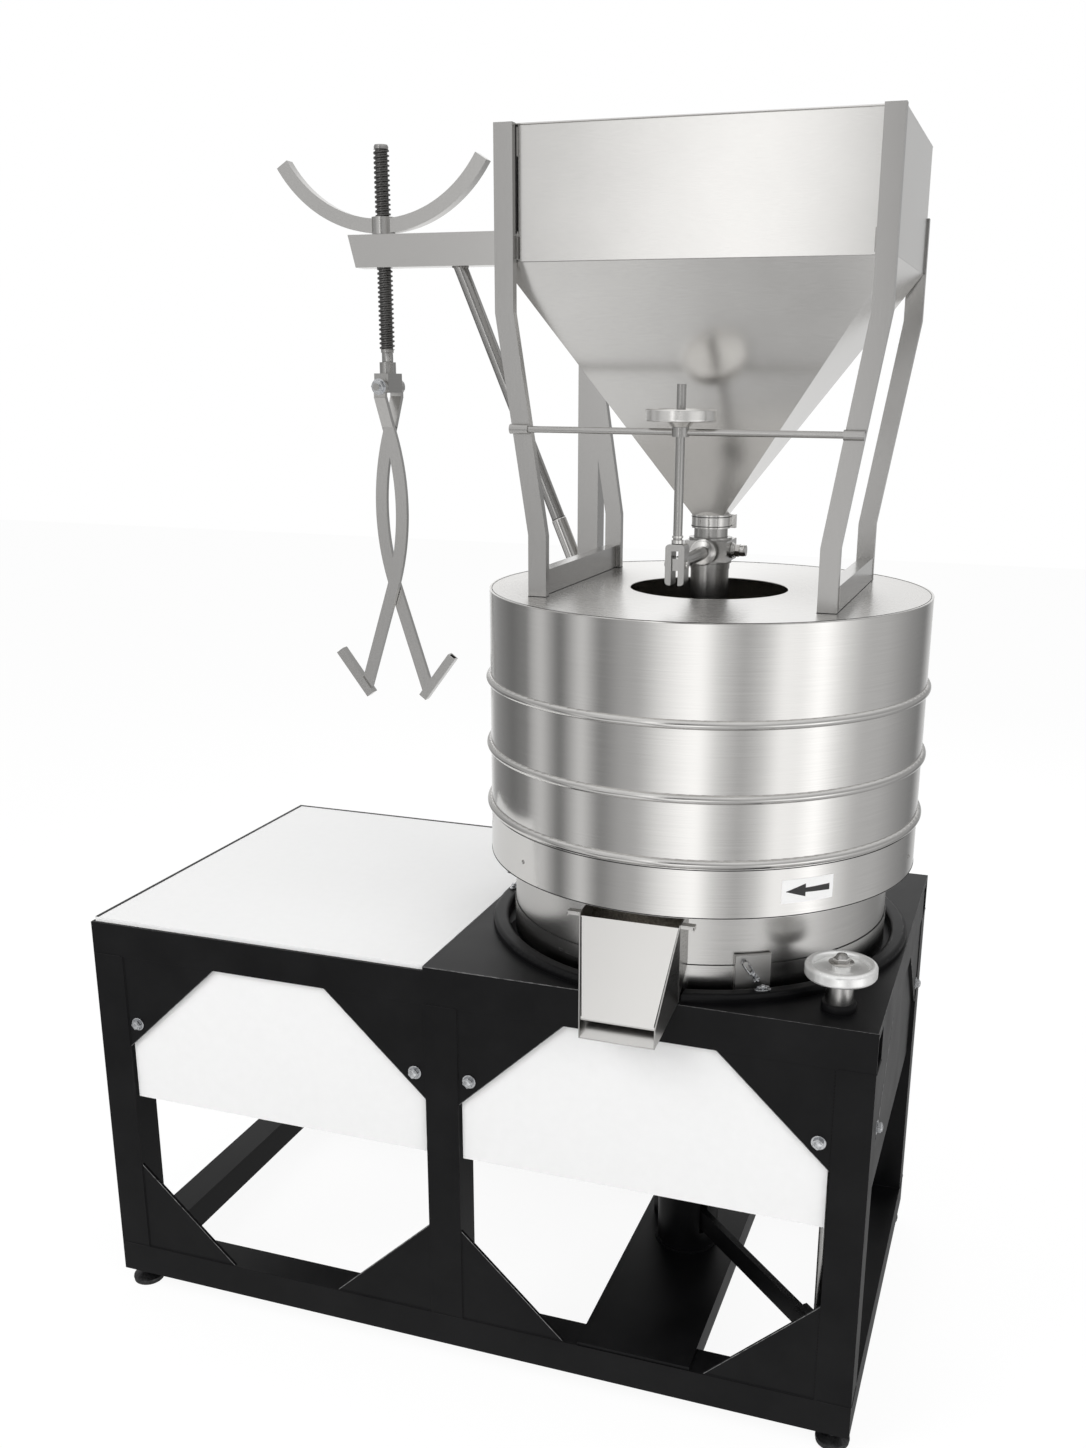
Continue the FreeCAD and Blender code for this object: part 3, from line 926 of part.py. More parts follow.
def make_feed():
    """Valve under the hopper, its lever and flap, the rod with its handwheel, and the feed pipe."""
    inner = "pipe_radius - pipe_wall"
    shell = round_bar("valve_shell", MILL_X, MILL_Y, "valve_bottom", "valve_radius", "2 * valve_rise")
    neck = round_bar("valve_neck", MILL_X, MILL_Y, "valve_top - 1", "neck_tube",
                     "clamp_bottom - valve_top + 1")
    foot = round_bar("valve_foot", MILL_X, MILL_Y, "valve_bottom - 10", "pipe_radius + 1", "11")
    gland = round_bar("valve_gland", MILL_X, f"{MILL_Y} - valve_radius - gland_length + 4", "valve_height",
                      "gland_radius", "gland_length", "y")
    block = box("valve_block", f"{MILL_X} - valve_radius", f"{MILL_Y} - valve_radius", "valve_height - 17",
                "2 * valve_radius", "2 * valve_radius", "34")
    stop = round_bar("valve_stop", f"{MILL_X} + valve_radius - 1", MILL_Y, "valve_height", "9", "26", "x")
    through = round_bar("valve_bore", MILL_X, MILL_Y, "valve_bottom - 11", "neck_tube - neck_wall",
                        "clamp_bottom - valve_bottom + 12")
    socket = round_bar("gland_bore", MILL_X, f"{MILL_Y} - valve_radius - gland_length + 3", "valve_height",
                       "ball_radius + running_fit", "gland_length + 12", "y")
    node("valve_body",
         cut("valve_body", join("valve_blank", shell, neck, foot, gland, block, stop), through, socket))
    ball_y = f"({MILL_Y} - valve_radius - gland_length / 2 + 4)"
    ball = place(bound(doc.addObject("Part::Sphere", "lever_ball"), Radius="ball_radius"), MILL_X, ball_y,
                 "valve_height")
    stem = round_bar("lever_stem", MILL_X, f"{ball_y} - 24", "valve_height", "lever_neck",
                     f"{MILL_Y} - ({ball_y}) + 24", "y")
    bar = round_bar("lever_handle", MILL_X, f"{TIE_Y} + fork_width / 2 + 2", "valve_height", "lever_bar",
                    f"{ball_y} - 20 - ({TIE_Y}) - fork_width / 2 - 2", "y")
    flap = round_bar("lever_flap", MILL_X, MILL_Y, "valve_height - flap_thickness / 2", "flap_radius",
                     "flap_thickness")
    tongue = box("lever_tongue", f"{MILL_X} - tongue / 2", f"{TIE_Y} - 10", "valve_height - 9", "tongue",
                 "fork_width / 2 + 14", "18")
    eyes = [round_bar(f"tongue_slot_{name}", f"{MILL_X} - tongue", f"{TIE_Y} + {shift}", "valve_height",
                      "fork_pin + running_fit + 0.2", "2 * tongue", "x")
            for name, shift in (("near", "0"), ("middle", "-feed_slot / 2"), ("far", "-feed_slot"))]
    node("feed_lever", cut("feed_lever", join("feed_lever_blank", ball, stem, bar, flap, tongue), *eyes))
    rod = round_bar("feed_spindle", MILL_X, TIE_Y, "valve_height + fork_height / 2 - 2", "feed_rod",
                    "stud_top - valve_height - fork_height / 2 + 2")
    fork = box("feed_fork", f"{MILL_X} - fork_width / 2", f"{TIE_Y} - fork_width / 2",
               "valve_height - fork_height / 2", "fork_width", "fork_width", "fork_height")
    rounding = doc.addObject("Part::Fillet", "feed_fork_round")
    doc.recompute()
    upright = [n for n, edge in enumerate(fork.Shape.Edges, start=1) if abs(edge.tangentAt(0).y) > 0.9]
    rounding.Base = fork
    rounding.Edges = [(n, value("fork_round"), value("fork_round")) for n in upright]
    gap = box("feed_fork_gap", f"{MILL_X} - tongue / 2 - cheek_gap", f"{TIE_Y} - fork_width",
              "valve_height - fork_height / 2 - 1",
              "tongue + 2 * cheek_gap", "2 * fork_width", "fork_height - 9")
    pin = round_bar("feed_fork_pin", f"{MILL_X} - fork_width / 2 - 4", TIE_Y, "valve_height", "fork_pin",
                    "fork_width + 8", "x")
    node("feed_rod", join("feed_rod", cut("feed_clevis", rounding, gap), rod, pin))
    wheel_low = "(tie_height + tie_radius + 2 + seat_gap)"
    rim = "feed_wheel_radius - 6"
    bore = "feed_rod + running_fit"
    rim_low = f"{wheel_low} + 8"
    rim_top = f"{rim_low} + feed_wheel_height"
    wheel = turned("feed_handwheel", [
        (bore, wheel_low), ("tie_boss", wheel_low), ("tie_boss + 8", rim_low),
        ("feed_wheel_radius", rim_low),
        ("feed_wheel_radius", rim_top), (rim, rim_top), (rim, f"{wheel_low} + 20"),
        (bore, f"{wheel_low} + 20")],
        MILL_X, TIE_Y)
    node("feed_handwheel", soften(wheel, "feed_wheel_round", "2.5", ("feed_wheel_radius", rim_low),
                                  ("feed_wheel_radius", rim_top), (rim, rim_top)))
    node("feed_pipe", turned("feed_pipe", [
        (inner, "pipe_bottom"), ("pipe_radius", "pipe_bottom"), ("pipe_radius", "valve_bottom - 10"),
        (inner, "valve_bottom - 10")]))


def sector(name, outer, inner, thickness, start, sweep, x, y, z):
    """Flat ring sector standing in the XZ plane, its thickness towards the rear."""
    disc = bound(doc.addObject("Part::Cylinder", name + "_outer"), Radius=outer, Height=thickness)
    disc.Angle = sweep
    core = bound(doc.addObject("Part::Cylinder", name + "_inner"), Radius=inner, Height=f"{thickness} + 4")
    upright = FreeCAD.Rotation(FreeCAD.Vector(1, 0, 0), 90)
    spin = FreeCAD.Rotation(FreeCAD.Vector(0, 0, 1), start)
    disc.Placement = FreeCAD.Placement(FreeCAD.Vector(), upright.multiply(spin))
    core.Placement = FreeCAD.Placement(FreeCAD.Vector(), upright)
    place(disc, x, f"{y} + {thickness}", z)
    place(core, x, f"{y} + {thickness} + 2", z)
    return cut(name, disc, core)


def make_crane():
    """Swivelling post with arm and brace, and the lifting screw with its bow handle."""
    bore = "spigot_radius + running_fit"
    floor = "(table_height + socket_foot)"
    top = "(table_height + socket_height)"
    node("crane_socket", turned("crane_socket", [
        ("0", "table_height"), ("socket_flange", "table_height"), ("socket_flange", floor),
        ("socket_radius", floor),
        ("socket_radius", top), (bore, top), (bore, floor), ("0", floor)], CRANE_X, CRANE_Y))
    post_low = f"({top} + seat_gap + collar_height)"
    spigot = turned("crane_spigot", [
        ("0", f"{floor} + seat_gap"), ("spigot_radius", f"{floor} + seat_gap"),
        ("spigot_radius", f"{top} + seat_gap"),
        ("socket_radius", f"{top} + seat_gap"), ("socket_radius", post_low), ("0", post_low)], CRANE_X,
                    CRANE_Y)
    post = box("crane_post_tube", f"{CRANE_X} - crane_tube / 2", f"{CRANE_Y} - crane_tube / 2",
               f"{post_low} - 1", "crane_tube", "crane_tube", f"{ARM_TOP} - ({post_low}) + 1")
    node("crane_post", join("crane_post", spigot, post))
    tip = f"{LIFT_X} - arm_beyond"
    inner_x = f"{CRANE_X} - crane_tube / 2"
    outline = [(f"{tip} + arm_slant", "arm_bottom"), (inner_x, "arm_bottom"), (inner_x, ARM_TOP), (tip, ARM_TOP)]
    arm = plate("crane_arm_bar", "XZ_Plane", outline, f"-({CRANE_Y}) - crane_tube / 2", "crane_tube")
    hollow = box("crane_arm_hollow", f"{tip} + arm_slant + 2 * crane_wall",
                 f"{CRANE_Y} - crane_tube / 2 + crane_wall", "arm_bottom + crane_wall",
                 f"{CRANE_REACH} + arm_beyond - arm_slant - crane_tube / 2 - 4 * crane_wall",
                 "crane_tube - 2 * crane_wall", "arm_height - 2 * crane_wall")
    hole = round_bar("crane_arm_hole", LIFT_X, CRANE_Y, "arm_bottom - 1", "lift_radius + seat_gap",
                     "arm_height + 2")
    node("crane_arm", cut("crane_arm", arm, hollow, hole))
    brace_top_x = value(f"{CRANE_X} - brace_inner")
    start = FreeCAD.Vector(value(f"{CRANE_X} - crane_tube / 2"), 0, value("brace_foot"))
    end = FreeCAD.Vector(brace_top_x, 0, value("arm_bottom"))
    way = end - start
    tilt = math.degrees(math.atan2(way.x, way.z))
    over = value("2 * brace_radius")
    rod = bound(doc.addObject("Part::Cylinder", "brace_tube"), Radius="brace_radius")
    rod.Height = way.Length + 2 * over
    shift = way.normalize() * over
    place(rod, f"{CRANE_X} - crane_tube / 2 - {shift.x}", CRANE_Y, f"brace_foot - {shift.z}", (0, 1, 0),
          tilt)
    beside = box("brace_foot_trim", f"{CRANE_X} - crane_tube / 2", f"{CRANE_Y} - 50", "brace_foot - 100",
                 "100", "100", "200")
    above = box("brace_head_trim", f"{CRANE_X} - brace_inner - 100", f"{CRANE_Y} - 50", "arm_bottom", "200",
                "100", "100")
    node("crane_brace", cut("crane_brace", rod, beside, above))
    node("lift_screw", turned("lift_screw", [
        ("0", "swivel_top + seat_gap - 12"), ("stem", "swivel_top + seat_gap - 12"),
        ("stem", "lift_bottom - 8"), ("lift_radius - 2", "lift_bottom - 8"), ("lift_radius", "lift_bottom"),
        ("lift_radius", "lift_top - 3"),
        ("lift_radius - 3", "lift_top"), ("0", "lift_top")], LIFT_X, CRANE_Y))
    hub_low = f"({ARM_TOP} + seat_gap)"
    hub = round_bar("handle_hub_blank", LIFT_X, CRANE_Y, hub_low, "handle_hub", "handle_hub_height")
    bow = sector("handle_bow", "handle_radius + handle_width / 2", "handle_radius - handle_width / 2",
                 "handle_thickness",
                 270 - value("handle_half_angle"), 2 * value("handle_half_angle"), LIFT_X,
                 f"{CRANE_Y} - handle_thickness / 2", f"{hub_low} + handle_radius + handle_width / 2 + 2")
    thread = round_bar("handle_thread", LIFT_X, CRANE_Y, f"{hub_low} - 1", "lift_radius + running_fit",
                       "handle_hub_height + 40")
    node("lift_handle", cut("lift_handle", join("handle_blank", hub, bow), thread))
    make_tongs()


def turned_box(name, turn, corner, size, x, y, z):
    """Box whose corner lies at an offset in turned axes from x, y, z."""
    block = doc.addObject("Part::Box", name)
    bound(block, Length=size[0], Width=size[1], Height=size[2])
    block.Placement = FreeCAD.Placement(FreeCAD.Vector(), turn)
    shift = turn.multVec(FreeCAD.Vector(*[value(c) for c in corner]))
    return place(block, f"{x} + ({shift.x})", f"{y} + ({shift.y})", f"{z} + ({shift.z})")


def make_tongs():
    """Two bowed flat arms on one bolt through the swivel block, with tubular pegs for the stone's sides."""
    collar = round_bar("swivel_collar", LIFT_X, CRANE_Y, "swivel_top - 22", "swivel_radius", "22")
    block = box("swivel_block", f"{LIFT_X} - tong_block_half", f"{CRANE_Y} - tong_spread + seat_gap",
                "tong_pivot - block_drop", "2 * tong_block_half", "2 * (tong_spread - seat_gap)",
                "swivel_top - 21 - tong_pivot + block_drop")
    reach = "(tong_spread + tong_thickness + 14)"
    pin = round_bar("swivel_bolt", LIFT_X, f"{CRANE_Y} - {reach}", "tong_pivot", "tong_bolt",
                    f"2 * {reach}", "y")
    heads = [round_bar(f"swivel_head_{name}", LIFT_X, y, "tong_pivot", "tong_bolt + 4", "9", "y")
             for name, y in (("front", f"{CRANE_Y} - tong_spread - tong_thickness - seat_gap - 9"),
                             ("rear", f"{CRANE_Y} + tong_spread + tong_thickness + seat_gap"))]
    stem_hole = round_bar("swivel_stem_hole", LIFT_X, CRANE_Y, "swivel_top - 12", "stem + running_fit",
                          "20")
    node("tong_block", cut("tong_block", join("swivel_blank", collar, block, pin, *heads), stem_hole))
    half = math.degrees(math.asin(value("tong_half_chord / tong_arc")))
    rise = value("tong_arc") * math.cos(math.radians(half))
    for name, way in (("left", 1), ("right", -1)):
        tong_arm(name, way, half, rise)


def tong_arm(name, way, half, rise):
    """Eye, slanting neck, bow, straight end and peg; way is 1 for the front arm, bowed to the right."""
    thick, wide = "tong_thickness", "tong_width"
    near = f"{CRANE_Y} - tong_gap - {thick}" if way > 0 else f"{CRANE_Y} + tong_gap"
    far = f"{CRANE_Y} - tong_spread - {thick}" if way > 0 else f"{CRANE_Y} + tong_spread"
    eye = round_bar(f"tong_eye_{name}", LIFT_X, far, "tong_pivot", "tong_eye", thick, "y")
    strap = box(f"tong_strap_{name}", f"{LIFT_X} - {wide} / 2", far, "tong_pivot - tong_neck", wide, thick,
                "tong_neck")
    step = value("tong_spread - tong_gap")
    drop = value("tong_pivot - tong_neck - tong_cross")
    slope = math.degrees(math.atan2(step, drop))
    inward = FreeCAD.Rotation(FreeCAD.Vector(1, 0, 0), way * slope)
    length = math.hypot(step, drop)
    neck = turned_box(f"tong_neck_{name}", inward, (f"-{wide} / 2", f"-{thick} / 2", f"-{length} - 2"),
                      (wide, thick, f"{length} + 4"), LIFT_X, f"{far} + {thick} / 2",
                      "tong_pivot - tong_neck")
    first = 360 - half if way > 0 else 180 - half
    bow = sector(f"tong_bow_{name}", "tong_arc + tong_width / 2", "tong_arc - tong_width / 2", thick, first,
                 2 * half, f"{LIFT_X} - {way * rise}", near, "tong_cross - tong_half_chord")
    low_end = "(tong_cross - 2 * tong_half_chord)"
    down = FreeCAD.Rotation(FreeCAD.Vector(0, 1, 0), 180 + way * half)
    middle = f"{near} + {thick} / 2"
    straight = turned_box(f"tong_straight_{name}", down, (f"-{wide} / 2", f"-{thick} / 2", "-6"),
                          (wide, thick, "tong_straight + 6"), LIFT_X, middle, low_end)
    end = down.multVec(FreeCAD.Vector(0, 0, value("tong_straight")))
    tilt = value("tong_foot_angle")
    outward = FreeCAD.Rotation(FreeCAD.Vector(0, 1, 0), -(180 - tilt) if way > 0 else -tilt)
    bar = "tong_foot_bar"
    spot = (f"{LIFT_X} + ({end.x})", middle, f"{low_end} + ({end.z})")
    peg = turned_box(f"tong_peg_{name}", outward, (f"-{bar}", f"-{bar} / 2", f"-{bar} / 2"),
                     ("tong_foot", bar, bar), *spot)
    bore = turned_box(f"tong_peg_bore_{name}", outward,
                      (f"{bar} * 0.6 + 1", f"-{bar} / 2 + 3", f"-{bar} / 2 + 3"),
                      ("tong_foot", f"{bar} - 6", f"{bar} - 6"), *spot)
    hole = round_bar(f"tong_hole_{name}", LIFT_X, f"{far} - 2", "tong_pivot", "tong_bolt + running_fit",
                     f"{thick} + 4", "y")
    node(f"tong_arm_{name}",
         cut(f"tong_arm_{name}", join(f"tong_blank_{name}", eye, strap, neck, bow, straight, peg), hole,
             bore))


make_frame()
make_table()
make_drum()
make_stones()
make_hood()
make_spout()
make_latches()
make_drive()
make_gap_gear()
make_stand()
make_hopper()
make_feed()
make_crane()
doc.recompute()

failed = [thing.Name for thing in doc.Objects if "Invalid" in thing.State or "Error" in thing.State]
if failed:
    raise RuntimeError(f"features that failed: {failed}")
os.makedirs("parts", exist_ok=True)
whole = FreeCAD.BoundBox()
for thing in nodes:
    if thing.Shape.isNull() or not thing.Shape.isValid():
        raise RuntimeError(f"{thing.Label} has no valid shape")
    thing.Shape.exportStep(f"parts/{thing.Label}.step")
    whole.add(thing.Shape.BoundBox)
print(len(nodes), "nodes, outer box", whole)
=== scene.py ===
import math

import bmesh
import bpy
from mathutils import Matrix, Vector


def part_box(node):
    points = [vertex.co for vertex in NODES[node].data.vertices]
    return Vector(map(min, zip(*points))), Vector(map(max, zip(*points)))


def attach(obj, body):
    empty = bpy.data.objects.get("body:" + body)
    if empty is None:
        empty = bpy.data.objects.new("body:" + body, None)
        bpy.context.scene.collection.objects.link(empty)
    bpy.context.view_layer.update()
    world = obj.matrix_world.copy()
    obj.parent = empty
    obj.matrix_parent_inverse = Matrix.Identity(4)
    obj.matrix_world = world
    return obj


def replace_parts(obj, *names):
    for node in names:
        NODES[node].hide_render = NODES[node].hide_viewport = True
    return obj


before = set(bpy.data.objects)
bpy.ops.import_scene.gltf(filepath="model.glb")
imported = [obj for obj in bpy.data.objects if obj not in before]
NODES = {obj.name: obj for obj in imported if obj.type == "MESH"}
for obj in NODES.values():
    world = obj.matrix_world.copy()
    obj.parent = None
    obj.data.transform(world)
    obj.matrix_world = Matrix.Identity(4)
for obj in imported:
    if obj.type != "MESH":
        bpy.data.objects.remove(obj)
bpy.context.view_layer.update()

scene = bpy.context.scene
scene.view_settings.view_transform = "Standard"

# The photograph's size in pixels, and the camera that was fitted to it
IMAGE_WIDTH, IMAGE_HEIGHT = 1086, 1448
FOCAL_PX = 1395.8
PRINCIPAL_X, PRINCIPAL_Y = 581.1, 804.1
CAMERA_AT = Vector((0.88069, -2.28023, 1.69367))
CAMERA_YAW, CAMERA_PITCH, CAMERA_ROLL = 18.65, 16.882, 0.44


def middle(node):
    low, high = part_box(node)
    return (low + high) / 2


def size(node):
    low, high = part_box(node)
    return high - low


MILL = middle("runner_stone")
MILL.z = 0


# Shader building
def wire(tree, node, inputs):
    """Fill a node's inputs, by name or number: a socket is linked, and anything else is its value."""
    for key, value in inputs.items():
        if isinstance(value, bpy.types.NodeSocket):
            tree.links.new(value, node.inputs[key])
        else:
            node.inputs[key].default_value = value


def add(tree, kind, inputs=None, **settings):
    """New node with its settings and inputs."""
    node = tree.nodes.new(kind)
    for key, setting in settings.items():
        setattr(node, key, setting)
    wire(tree, node, inputs or {})
    return node


def material(name):
    """New material, its node tree and its shader."""
    mat = bpy.data.materials.new(name)
    mat.use_nodes = True
    tree = mat.node_tree
    return mat, tree, tree.nodes["Principled BSDF"]


def noise(tree, scale, detail, stretch=(1, 1, 1)):
    """Noise over the object's own space, squeezed or drawn out along its axes."""
    coords = add(tree, "ShaderNodeTexCoord")
    mapping = add(tree, "ShaderNodeMapping", {"Scale": stretch, "Vector": coords.outputs["Object"]})
    tex = add(tree, "ShaderNodeTexNoise", {
        "Scale": scale, "Detail": detail, "Roughness": 0.6, "Vector": mapping.outputs["Vector"]})
    return tex.outputs["Fac"]


def around_axis(tree, centre, scale_around, scale_up):
    """Noise drawn out along circles about an upright axis, as turned or rolled sheet is brushed."""
    coords = add(tree, "ShaderNodeTexCoord")
    shift = add(tree, "ShaderNodeVectorMath", {0: coords.outputs["Object"], 1: (centre.x, centre.y, 0)},
                operation="SUBTRACT")
    x, y, z = add(tree, "ShaderNodeSeparateXYZ", {"Vector": shift.outputs["Vector"]}).outputs
    angle = add(tree, "ShaderNodeMath", {0: y, 1: x}, operation="ARCTAN2")
    flat = add(tree, "ShaderNodeCombineXYZ", {"X": x, "Y": y})
    length = add(tree, "ShaderNodeVectorMath", {0: flat.outputs["Vector"]}, operation="LENGTH")
    join = add(tree, "ShaderNodeCombineXYZ", {"X": angle.outputs[0], "Y": z, "Z": length.outputs["Value"]})
    stretch = add(tree, "ShaderNodeVectorMath", {0: join.outputs["Vector"], 1: (scale_around, scale_up, scale_up)},
                  operation="MULTIPLY")
    tex = add(tree, "ShaderNodeTexNoise", {"Scale": 1.0, "Detail": 5.0, "Vector": stretch.outputs["Vector"]})
    return tex.outputs["Fac"]


def ramp(tree, fac, stops):
    """Colour ramp over pairs of place and colour."""
    node = add(tree, "ShaderNodeValToRGB", {"Fac": fac})
    elements = node.color_ramp.elements
    while len(elements) > 1:
        elements.remove(elements[-1])
    elements[0].position = stops[0][0]
    elements[0].color = (*stops[0][1], 1)
    for place, colour in stops[1:]:
        elements.new(place).color = (*colour, 1)
    return node.outputs["Color"]


def spread(tree, fac, low, high):
    """The factor's range of 0 to 1 spread from low to high."""
    return add(tree, "ShaderNodeMapRange", {"Value": fac, "To Min": low, "To Max": high}).outputs["Result"]


def blended(tree, first, second, share):
    """Mix of two noises; share is the second one's part."""
    return add(tree, "ShaderNodeMix", {"Factor": share, 2: first, 3: second}, data_type="FLOAT").outputs[0]


def bump(tree, height, strength, distance):
    """Relief in the surface's normal."""
    relief = {"Strength": strength, "Distance": distance, "Height": height}
    return add(tree, "ShaderNodeBump", relief).outputs["Normal"]


def grey(value):
    """Grey with the slight warmth of stainless steel."""
    return (value, value * 0.985, value * 0.96)


def brushed(name, tone, rough, stretch=(1, 1, 1), contrast=0.05, clouded=0.35, centre=None, flat_rough=0.0):
    """Brushed stainless: fine lines in colour, roughness and bump, with broad faint clouds of handling.

    A centre lays the lines round an upright axis; flat_rough makes level faces rougher."""
    mat, tree, shader = material(name)
    if centre is None:
        lines = noise(tree, 60.0, 6.0, stretch)
    else:
        lines = around_axis(tree, centre, 3.0, 900.0)
    fac = blended(tree, lines, noise(tree, 3.0, 3.0), clouded)
    colour = ramp(tree, fac, [(0.25, grey(tone - contrast)), (0.5, grey(tone)), (0.75, grey(tone + contrast))])
    roughness = spread(tree, fac, rough - 0.04, rough + 0.04)
    if flat_rough:
        facing = add(tree, "ShaderNodeNewGeometry")
        split = add(tree, "ShaderNodeSeparateXYZ", {"Vector": facing.outputs["Normal"]})
        roughness = add(tree, "ShaderNodeMath", {0: split.outputs["Z"], 1: flat_rough, 2: roughness},
                        operation="MULTIPLY_ADD", use_clamp=True).outputs[0]
    wire(tree, shader, {"Metallic": 1.0, "Base Color": colour, "Roughness": roughness,
                        "Normal": bump(tree, lines, 0.05, 0.0001)})
    if centre is not None:
        around = add(tree, "ShaderNodeTangent", direction_type="RADIAL", axis="Z")
        wire(tree, shader, {"Anisotropic": 0.7, "Tangent": around.outputs["Tangent"]})
    return mat


def powder_coat():
    """Satin black powder coat with fine orange peel and faint worn spots."""
    mat, tree, shader = material("satin_black_coat")
    peel, rubs = noise(tree, 900.0, 2.0), noise(tree, 9.0, 5.0)
    wire(tree, shader, {
        "Base Color": ramp(tree, rubs, [(0.35, (0.0028, 0.0028, 0.0032)), (0.7, (0.0065, 0.0065, 0.007))]),
        "Roughness": spread(tree, rubs, 0.34, 0.50), "Specular IOR Level": 0.17,
        "Normal": bump(tree, peel, 0.10, 0.0003)})
    return mat


def white_panel():
    """White painted sheet: nearly smooth, with slight waviness and dust."""
    mat, tree, shader = material("white_painted_sheet")
    waves, dust = noise(tree, 5.0, 3.0), noise(tree, 60.0, 6.0)
    wire(tree, shader, {
        "Base Color": ramp(tree, dust, [(0.2, (0.925, 0.925, 0.922)), (0.8, (0.95, 0.95, 0.948))]),
        "Roughness": spread(tree, waves, 0.34, 0.44), "Normal": bump(tree, dust, 0.03, 0.0002)})
    return mat


def grained(name, scale, low, high, metallic, rough, height, distance=0.0004, stretch=(1, 1, 1)):
    """Finish with a fine grain in its colour, roughness and surface, between two colours."""
    mat, tree, shader = material(name)
    grain = noise(tree, scale, 5.0, stretch)
    wire(tree, shader, {
        "Metallic": metallic, "Base Color": ramp(tree, grain, [(0.3, low), (0.7, high)]),
        "Roughness": spread(tree, grain, *rough), "Normal": bump(tree, grain, height, distance)})
    return mat


def millstone():
    """Dressed quartz stone with darker grains and small pits."""
    mat, tree, shader = material("dressed_stone")
    grains = noise(tree, 260.0, 6.0)
    mottled = blended(tree, grains, noise(tree, 12.0, 5.0), 0.5)
    stops = [(0.36, (0.20, 0.17, 0.13)), (0.5, (0.42, 0.38, 0.32)), (0.62, (0.60, 0.56, 0.49))]
    wire(tree, shader, {"Base Color": ramp(tree, mottled, stops), "Roughness": spread(tree, grains, 0.70, 0.95),
                        "Normal": bump(tree, grains, 0.5, 0.001)})
    return mat


MATS = {
    "coat": powder_coat(),
    "white": white_panel(),
    "stone": millstone(),
    "zinc": grained("bright_zinc", 220.0, (0.52, 0.53, 0.55), (0.72, 0.73, 0.74), 1.0, (0.18, 0.36), 0.08, 0.0003),
    "rubber": grained("black_rubber", 400.0, (0.010, 0.010, 0.010), (0.028, 0.028, 0.027), 0.0, (0.50, 0.75), 0.2),
    "iron": grained("dark_cast_iron", 320.0, (0.045, 0.045, 0.048), (0.10, 0.10, 0.105), 0.6, (0.45, 0.65), 0.3,
                    0.0006),
    "bronze": grained("bearing_bronze", 120.0, (0.42, 0.27, 0.12), (0.62, 0.44, 0.22), 1.0, (0.28, 0.42), 0.05, 0.0002,
                      (1, 1, 8)),
    "enamel": grained("dark_enamel", 300.0, (0.030, 0.036, 0.045), (0.050, 0.058, 0.070), 0.0, (0.35, 0.50), 0.15),
    "cup": grained("foot_steel", 260.0, (0.020, 0.020, 0.021), (0.060, 0.060, 0.062), 0.7, (0.28, 0.46), 0.10),
    # Bright grey for thin lines on the frame's edges: painted highlights, light on the edges put into the colour
    "highlight_line": grained("painted_highlight_line", 90.0, (0.06, 0.06, 0.06), (0.42, 0.42, 0.42), 0.6, (0.30, 0.50), 0.10),
    # Dark lines: real joints, and also painted shade under beads and bars and in gaps
    "joint_and_shade_line": grained("dark_joint_and_painted_shade", 300.0, (0.010, 0.010, 0.010), (0.030, 0.029, 0.028), 0.2, (0.55, 0.75), 0.10),
    "bead": grained("weld_bead", 500.0, (0.30, 0.29, 0.28), (0.55, 0.54, 0.52), 1.0, (0.24, 0.40), 0.20),
    "sticker": grained("white_vinyl", 500.0, (0.90, 0.90, 0.895), (0.95, 0.95, 0.945), 0.0, (0.30, 0.42), 0.03, 0.0001),
    "ink": grained("black_print", 700.0, (0.012, 0.012, 0.012), (0.030, 0.030, 0.030), 0.0, (0.40, 0.55), 0.02, 0.0001),
    "alloy": grained("turned_bright_alloy", 450.0, (0.83, 0.83, 0.82), (0.90, 0.90, 0.89), 0.6, (0.22, 0.30), 0.02,
                     0.0001),
    "rolled": brushed("brushed_rolled_sheet", 0.68, 0.13, centre=MILL, flat_rough=0.14),
    "drum": brushed("brushed_drum_sheet", 0.57, 0.26, centre=MILL),
    "hopper": brushed("brushed_hopper_sheet", 0.70, 0.20, (1.2, 1.2, 40), 0.10, 0.55),
    "spout": brushed("brushed_spout_sheet", 0.68, 0.24, (40, 1.2, 1.2), 0.06, 0.55),
    "spout_side": brushed("brushed_spout_cheek", 0.50, 0.28, (1.2, 1.2, 40)),
    "bar": brushed("ground_bar", 0.46, 0.26, (30, 30, 0.8), 0.04),
    "cross_bar": brushed("ground_cross_bar", 0.47, 0.24, (0.8, 30, 30), 0.04),
    "turned": brushed("turned_alloy", 0.88, 0.26, (1, 1, 20)),
    # Darker steel for the bars' bevels: painted shade on the rounded edges
    "edge": brushed("bevel_painted_shade", 0.20, 0.34, (20, 20, 20)),
    "strap": brushed("ground_strap", 0.57, 0.26, (30, 30, 0.8), 0.04),
    "plate": brushed("ground_plate", 0.46, 0.36, (1.2, 1.2, 30)),
    "bright": brushed("bright_fitting", 0.74, 0.18, (20, 20, 20), 0.06),
    "thread": brushed("oiled_thread_steel", 0.15, 0.28, (20, 20, 1), 0.08),
}

